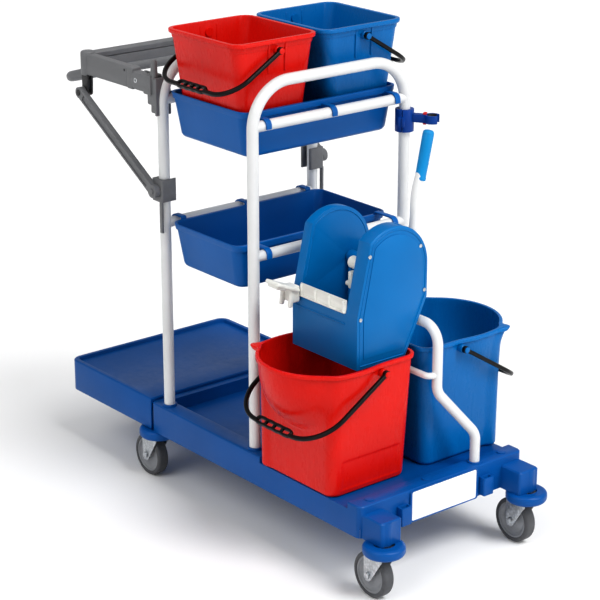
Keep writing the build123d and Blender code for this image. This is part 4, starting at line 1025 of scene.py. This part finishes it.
class BagHolder(SubAssembly):
    """Arms of the bag holder, the joints on the rear posts, the hangers and the push handle."""

    fold_x: float = -385.0
    fold_z: float = 950.0
    sides: tuple[int, int] = (-1, 1)

    def build(self) -> None:
        self.arms()
        self.joints()
        self.hangers()
        self.handle()

    def plate(self, skin: Skin, corners: Sequence[tuple[float, float]], radii: Sequence[float] | float,
              y: tuple[float, float], soft: float, side: int) -> None:
        """A plate drawn in the XZ plane between two distances from the middle, on one side."""
        near, far = (y[0], y[1]) if side < 0 else (-y[1], -y[0])
        skin.add(slab(rounded_outline(corners, radii), (0, -near, 0), (1, 0, 0), (0, 0, 1), far - near,
                      soft))

    def block(self, skin: Skin, xs: tuple[float, float], zs: tuple[float, float],
              radii: Sequence[float] | float, y: tuple[float, float], soft: float, side: int) -> None:
        """A plate with a rectangular outline."""
        corners = [(xs[0], zs[0]), (xs[1], zs[0]), (xs[1], zs[1]), (xs[0], zs[1])]
        self.plate(skin, corners, radii, y, soft, side)

    def arms(self) -> None:
        """Flat arms with a round rear corner, an end collar and a knuckle for the hinge."""
        skin, dots = Skin(), Skin()
        x, z = self.fold_x, self.fold_z
        for side in self.sides:
            self.block(skin, (-612, -424), (z - 24, z + 24), 5.0, (206.5, 229.5), 4.0, side)
            self.block(skin, (-426, -402), (z - 25, z + 25), 5.0, (206.0, 230.0), 3.0, side)
            self.block(skin, (-410, x + 17), (z - 17, z + 17), (4.0, 16.8, 16.8, 4.0),
                       (208.0, 228.0), 1.5, side)
            corner = [(z - 27, 12.5), (z - 25.8, 15.3), (z - 23, 16.5), (z + 24, 16.5), (z + 26.6, 15.6),
                      (z + 28.3, 13.4), (z + 29, 10.0)]
            skin.add(turned(corner, (-596, side * 218, 0), (0, 0, 1), 48))
            for dot_x in (-600.0, -434.0):
                dots.add(turned([(229.0, 3.2), (229.9, 3.0), (230.3, 2.0)], (dot_x, 0, z + 14),
                                (0, side, 0), 20))
        self.finish(skin, "bag_arms_skin", "bag_holder", "holder_grey", ["bag_arms"])
        self.finish(dots, "bag_arm_screws", "bag_holder", "hanger_black", [])

    def joints(self) -> None:
        """Cheeks, bracing block and the clamp with its thin plate behind each rear post."""
        skin, pins = Skin(), Skin()
        x, z = self.fold_x, self.fold_z
        for side in self.sides:
            for y in ((201.5, 205.5), (230.5, 234.5)):
                self.block(skin, (x - 17, -334), (z - 20, z + 18), (16.0, 3.0, 3.0, 16.0), y, 1.3, side)
            self.block(skin, (-357, -330), (z - 24, z + 20), 3.0, (201.6, 234.4), 2.0, side)
            self.block(skin, (-350, -318), (903, 963), 4.0, (192.5, 229.0), 3.0, side)
            self.block(skin, (-341, -318), (885, 908), 3.0, (195.0, 226.0), 3.0, side)
            self.block(skin, (-319, -313), (882, 966), 2.5, (190.5, 231.0), 2.0, side)
            peg = [(955, 8.0), (996, 7.4), (1001, 6.4), (1003.5, 4.0)]
            skin.add(turned(peg, (-331, side * 222, 0), (0, 0, 1), 28))
            pins.add(turned([(201.5, 5.8), (234.3, 5.8), (234.9, 5.2), (235.1, 3.0),
                             (234.5, 2.6)], (x, 0, z), (0, side, 0), 28))
        self.finish(skin, "post_brackets_skin", "cart", "holder_grey", ["post_brackets"])
        self.finish(pins, "fold_pins_skin", "cart", "zinc_steel", ["fold_pins"])

    def hangers(self, x: float = -597.0, z: float = 885.0) -> None:
        """Black pairs of prongs under the arms, with the pins of the struts."""
        skin = Skin()
        for side in self.sides:
            for y in ((214.0, 219.0), (225.0, 230.0)):
                self.plate(skin, [(x - 9, z - 9), (x + 12, z - 9), (x + 15, z + 41), (x - 9, z + 41)],
                           (8.5, 8.5, 2.0, 2.0), y, 1.2, side)
            self.plate(skin, [(x - 5, z + 8), (x + 10, z + 8), (x + 12, z + 30), (x - 5, z + 30)], 3.0,
                       (218.5, 225.5), 1.0, side)
            skin.add(turned([(214, 4), (246, 4), (246, 7.2), (248.2, 6.6), (249, 4.0)], (x, 0, z),
                            (0, side, 0), 28))
        self.finish(skin, "strut_hangers_skin", "bag_holder", "hanger_black", ["strut_hangers"])

    def handle(self) -> None:
        """The bent tube behind the cross bar."""
        path = smooth_path([(-598, -198, 928), (-700, -219, 897), (-700, 219, 897), (-598, 198, 928)],
                           34.0, 16)
        skin = Skin().add(carried(path, circle(11.95, 44), (0.3, 0, 0.95)))
        self.finish(skin, "push_handle_skin", "bag_holder", "holder_grey", ["push_handle"])


class WringerTrim(SubAssembly):
    """Raised border lines, the ledge and the levers of the wringer."""

    x0: float = 68.0
    x1: float = 276.0
    pivot: tuple[float, float, float] = (258.0, -22.0, 625.0)
    lean: float = 12.5
    reach: float = 305.0

    def build(self) -> None:
        self.lines()
        self.release()
        self.lever()

    def outline(self) -> Array:
        """End view in the YZ plane: foot, far side, arch over 132 degrees, and the near side."""
        arch = np.radians(np.linspace(0, 132, 40))
        round_top = np.stack([-62 + 95 * np.cos(arch), 646 + 95 * np.sin(arch)], 1)
        return np.concatenate([[(-160, 451), (-28, 451), (33, 577)], round_top, [(-160, 566)]])

    def lines(self) -> None:
        """Fine raised lines inside the edge of both housings, a ledge below the ribbed plate, a latch."""
        skin = Skin()
        flat = grown(self.outline(), np.array([-7.5]))[0]
        dense = np.concatenate([BailShape.between(a, b, 6.0) for a, b in zip(flat, np.roll(flat, -1, 0))])
        for x in (self.x1 + 0.1, self.x0 + 23.9):
            keep = dense if x > 200 else dense[dense[:, 1] > 600]
            path = np.column_stack([np.full(len(keep), x), keep])
            skin.add(carried(path, circle(1.3, 10), (1, 0, 0), closed=x > 200), loop=x > 200)
        skin.add(bar((self.x0 + 3, -160.4, 543), (self.x1 - 39, -160.4, 543), 3.0, 4.5, 1.2, (0, 0, 1)))
        self.finish(skin, "wringer_lines", "wringer", "wringer_blue", [])
        latch = Skin().add(bar((194, -104, 597), (194, -104, 634), 12.0, 14.0, 3.0, (0, 1, 0)))
        latch.add(turned([(-12, 4.6), (-10.5, 5.6), (-3, 5.6), (0, 4.2), (48, 4.2)], (190, -104, 605),
                         (1, 0, 0), 28))
        self.finish(latch, "wringer_latch", "wringer", "guide_white", [])

    def release(self, x: float = 81.0) -> None:
        """Broad paddle with a hub block and two prongs."""
        skin = Skin()
        skin.add(bar((x, -168, 580), (x, -226, 605), 46.0, 9.0, 4.0, (0, 0, 1)))
        skin.add(bar((x, -198, 589), (x, -225, 600), 34.0, 12.0, 4.5, (0, 0, 1)))
        skin.add(bar((x, -173.5, 554), (x, -173.5, 590), 34.0, 20.0, 4.5, (0, 1, 0)))
        for side in (-14.0, 14.0):
            skin.add(bar((x + side, -184, 585), (x + side, -189, 546), 8.0, 11.0, 3.4, (0, 1, 0)))
        self.finish(skin, "release_lever_skin", "release", "guide_white", ["release_lever"])

    def lever(self) -> None:
        """Lever tube with a soft double bend, and its grip with a collar and a ring.

        Sideways the tube leaves its line by 7 * sin(2 pi (s - 40) / 200) mm between 40 and 240 mm.
        """
        c, s = cos(radians(self.lean)), sin(radians(self.lean))
        along, across = np.array([0, s, c]), np.array([0, c, -s])
        dist = np.linspace(10, self.reach - 10, 60)[:, None]
        inside = (dist > 40) & (dist < 240)
        wave = np.where(inside, 7 * np.sin(2 * pi * (dist - 40) / 200) * np.sin(pi * (dist - 40) / 200), 0)
        path = np.asarray(self.pivot) + dist * along + wave * across
        skin = Skin().add(carried(path, circle(9.5, 40), (1, 0, 0)))
        self.finish(skin, "lever_tube_skin", "press", "tube_white", ["lever_tube"])
        start = self.reach - 105
        profile = [(start, 10.0), (start + 0.8, 11.6), (start + 2.5, 12.0), (start + 6, 12.0),
                   (start + 8, 11.3), (start + 30, 11.6), (start + 70, 11.9), (self.reach - 9, 12.0),
                   (self.reach - 8, 11.5), (self.reach - 7, 12.0), (self.reach - 3.2, 10.9),
                   (self.reach - 0.9, 8.2), (self.reach, 4.5)]
        skin = Skin().add(turned(profile, self.pivot, along, 40))
        self.finish(skin, "lever_grip_skin", "press", "grip_blue", ["lever_grip"])


class Softener:
    """Rounds the edges of the kept nodes and smooths their curved faces with live modifiers."""

    def __init__(self) -> None:
        """Makes the node group that shades by angle."""
        group = bpy.data.node_groups.new("shade_by_angle", "GeometryNodeTree")
        group.interface.new_socket("Geometry", in_out="INPUT", socket_type="NodeSocketGeometry")
        group.interface.new_socket("Geometry", in_out="OUTPUT", socket_type="NodeSocketGeometry")
        start = group.nodes.new("NodeGroupInput")
        end = group.nodes.new("NodeGroupOutput")
        smooth = group.nodes.new("GeometryNodeSetShadeSmooth")
        sharp = group.nodes.new("GeometryNodeSetShadeSmooth")
        sharp.domain = "EDGE"
        sharp.inputs["Shade Smooth"].default_value = False
        angle = group.nodes.new("GeometryNodeInputMeshEdgeAngle")
        test = group.nodes.new("FunctionNodeCompare")
        test.inputs["B"].default_value = radians(32)
        link = group.links.new
        link(start.outputs[0], smooth.inputs["Geometry"])
        link(smooth.outputs[0], sharp.inputs["Geometry"])
        link(angle.outputs["Unsigned Angle"], test.inputs["A"])
        link(test.outputs["Result"], sharp.inputs["Selection"])
        link(sharp.outputs[0], end.inputs[0])
        self._group = group

    def soften(self, obj: bpy.types.Object, width: float) -> None:
        """Adds the weld, the rounded edges and the shading to one node."""
        weld = obj.modifiers.new("weld", "WELD")
        weld.merge_threshold = 2e-6
        if width > 0:
            bevel = obj.modifiers.new("edges", "BEVEL")
            bevel.width = width
            bevel.segments = 2
            bevel.limit_method = "ANGLE"
            bevel.angle_limit = radians(40)
            bevel.use_clamp_overlap = True
        shade = obj.modifiers.new("shade", "NODES")
        shade.node_group = self._group


@dataclass
class KeptNodes:
    """The nodes whose CAD shape is shown, dressed by their record slots."""

    wardrobe: Wardrobe
    edge: float = 0.7 * MM
    fine_edge: float = 0.3 * MM
    fine: tuple[str, ...] = ("wringer_screws", "clip_cam", "clip_pads", "label_plate", "wringer_panel")

    def build(self) -> None:
        """Dresses and softens every node that is still shown."""
        slots = {row["node"]: row["material_slot"] for row in frame["record"]["subparts"]}
        softener = Softener()
        for name, obj in sorted(frame["nodes"].items()):
            if obj.hide_render:
                continue
            self.wardrobe.dress(obj, slots[name])
            softener.soften(obj, self.fine_edge if name in self.fine else self.edge)
            LOG.info("%s: kept, %s", name, slots[name])


# ---- studio -----------------------------------------------------------------
@dataclass
class Studio:
    """Pale floor, soft light and the camera."""

    floor_half: float = 40.0
    camera_place: tuple[float, float, float] = (3.2671, -2.6503, 1.9441)
    camera_look: tuple[float, float, float] = (-0.7306, 0.5965, -0.3326)
    lens: float = 119.5
    sensor: float = 36.0

    def build(self) -> None:
        """Makes everything round the cart."""
        self.floor()
        self.light()
        self.camera()

    def floor(self) -> None:
        """One pale square on the ground."""
        s = self.floor_half
        mesh = bpy.data.meshes.new("studio_floor")
        mesh.from_pydata([(-s, -s, 0), (s, -s, 0), (s, s, 0), (-s, s, 0)], [], [(0, 1, 2, 3)])
        obj = bpy.data.objects.new("studio_floor", mesh)
        bpy.context.scene.collection.objects.link(obj)
        nodes = Nodes("studio_floor")
        nodes.fix(Roughness=0.9, Specular_IOR_Level=0.1)
        nodes.shader.inputs["Base Color"].default_value = (0.88, 0.88, 0.88, 1)
        mesh.materials.append(nodes.material)

    def sun(self, name: str, towards: Sequence[float], strength: float, softness: float) -> None:
        """A far lamp that shines along a direction."""
        data = bpy.data.lights.new(name, "SUN")
        data.energy = strength
        data.angle = radians(softness)
        obj = bpy.data.objects.new(name, data)
        obj.rotation_mode = "QUATERNION"
        obj.rotation_quaternion = Vector(towards).to_track_quat("-Z", "Y")
        bpy.context.scene.collection.objects.link(obj)

    def panel(self, name: str, place: Sequence[float], aim: Sequence[float], size: float,
              power: float) -> None:
        """A square soft box."""
        data = bpy.data.lights.new(name, "AREA")
        data.shape = "SQUARE"
        data.size = size
        data.energy = power
        obj = bpy.data.objects.new(name, data)
        obj.location = place
        obj.rotation_mode = "QUATERNION"
        obj.rotation_quaternion = (Vector(aim) - Vector(place)).to_track_quat("-Z", "Y")
        bpy.context.scene.collection.objects.link(obj)

    def light(self) -> None:
        """White surroundings, a key lamp from the front, a fill from the right side and a soft box."""
        world = bpy.data.worlds.new("studio")
        world.use_nodes = True
        world.node_tree.nodes["Background"].inputs["Color"].default_value = (1, 1, 1, 1)
        world.node_tree.nodes["Background"].inputs["Strength"].default_value = 0.44
        bpy.context.scene.world = world
        self.sun("key", (-0.62, -0.1, -0.9), 1.75, 24)
        self.sun("right_fill", (-0.1, 0.85, -0.8), 0.75, 40)
        self.panel("soft_box", (2.4, 0.9, 1.5), (0.2, 0, 0.5), 1.2, 16)
        view = bpy.context.scene.view_settings
        view.view_transform = "Standard"
        view.look = "Medium High Contrast"

    def camera(self) -> None:
        """Long lens from the front right, looking down."""
        data = bpy.data.cameras.new("camera")
        data.lens = self.lens
        data.sensor_width = self.sensor
        data.clip_end = 200
        obj = bpy.data.objects.new("camera", data)
        obj.location = self.camera_place
        obj.rotation_mode = "QUATERNION"
        obj.rotation_quaternion = Vector(self.camera_look).to_track_quat("-Z", "Y")
        bpy.context.scene.collection.objects.link(obj)
        bpy.context.scene.camera = obj


def main() -> None:
    """Builds the sub-assemblies in order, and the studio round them."""
    logging.basicConfig(level=logging.INFO, format="%(name)s %(message)s")
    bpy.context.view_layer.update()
    wardrobe = Wardrobe()
    for group in SUB_ASSEMBLIES:
        group(wardrobe).build()
    KeptNodes(wardrobe).build()
    Studio().build()


SUB_ASSEMBLIES: tuple[type[SubAssembly], ...] = (
    Tubes, Wheels, Trays, SmallBuckets, MopBuckets, BagHolder, WringerTrim)

if __name__ == "__main__":
    main()
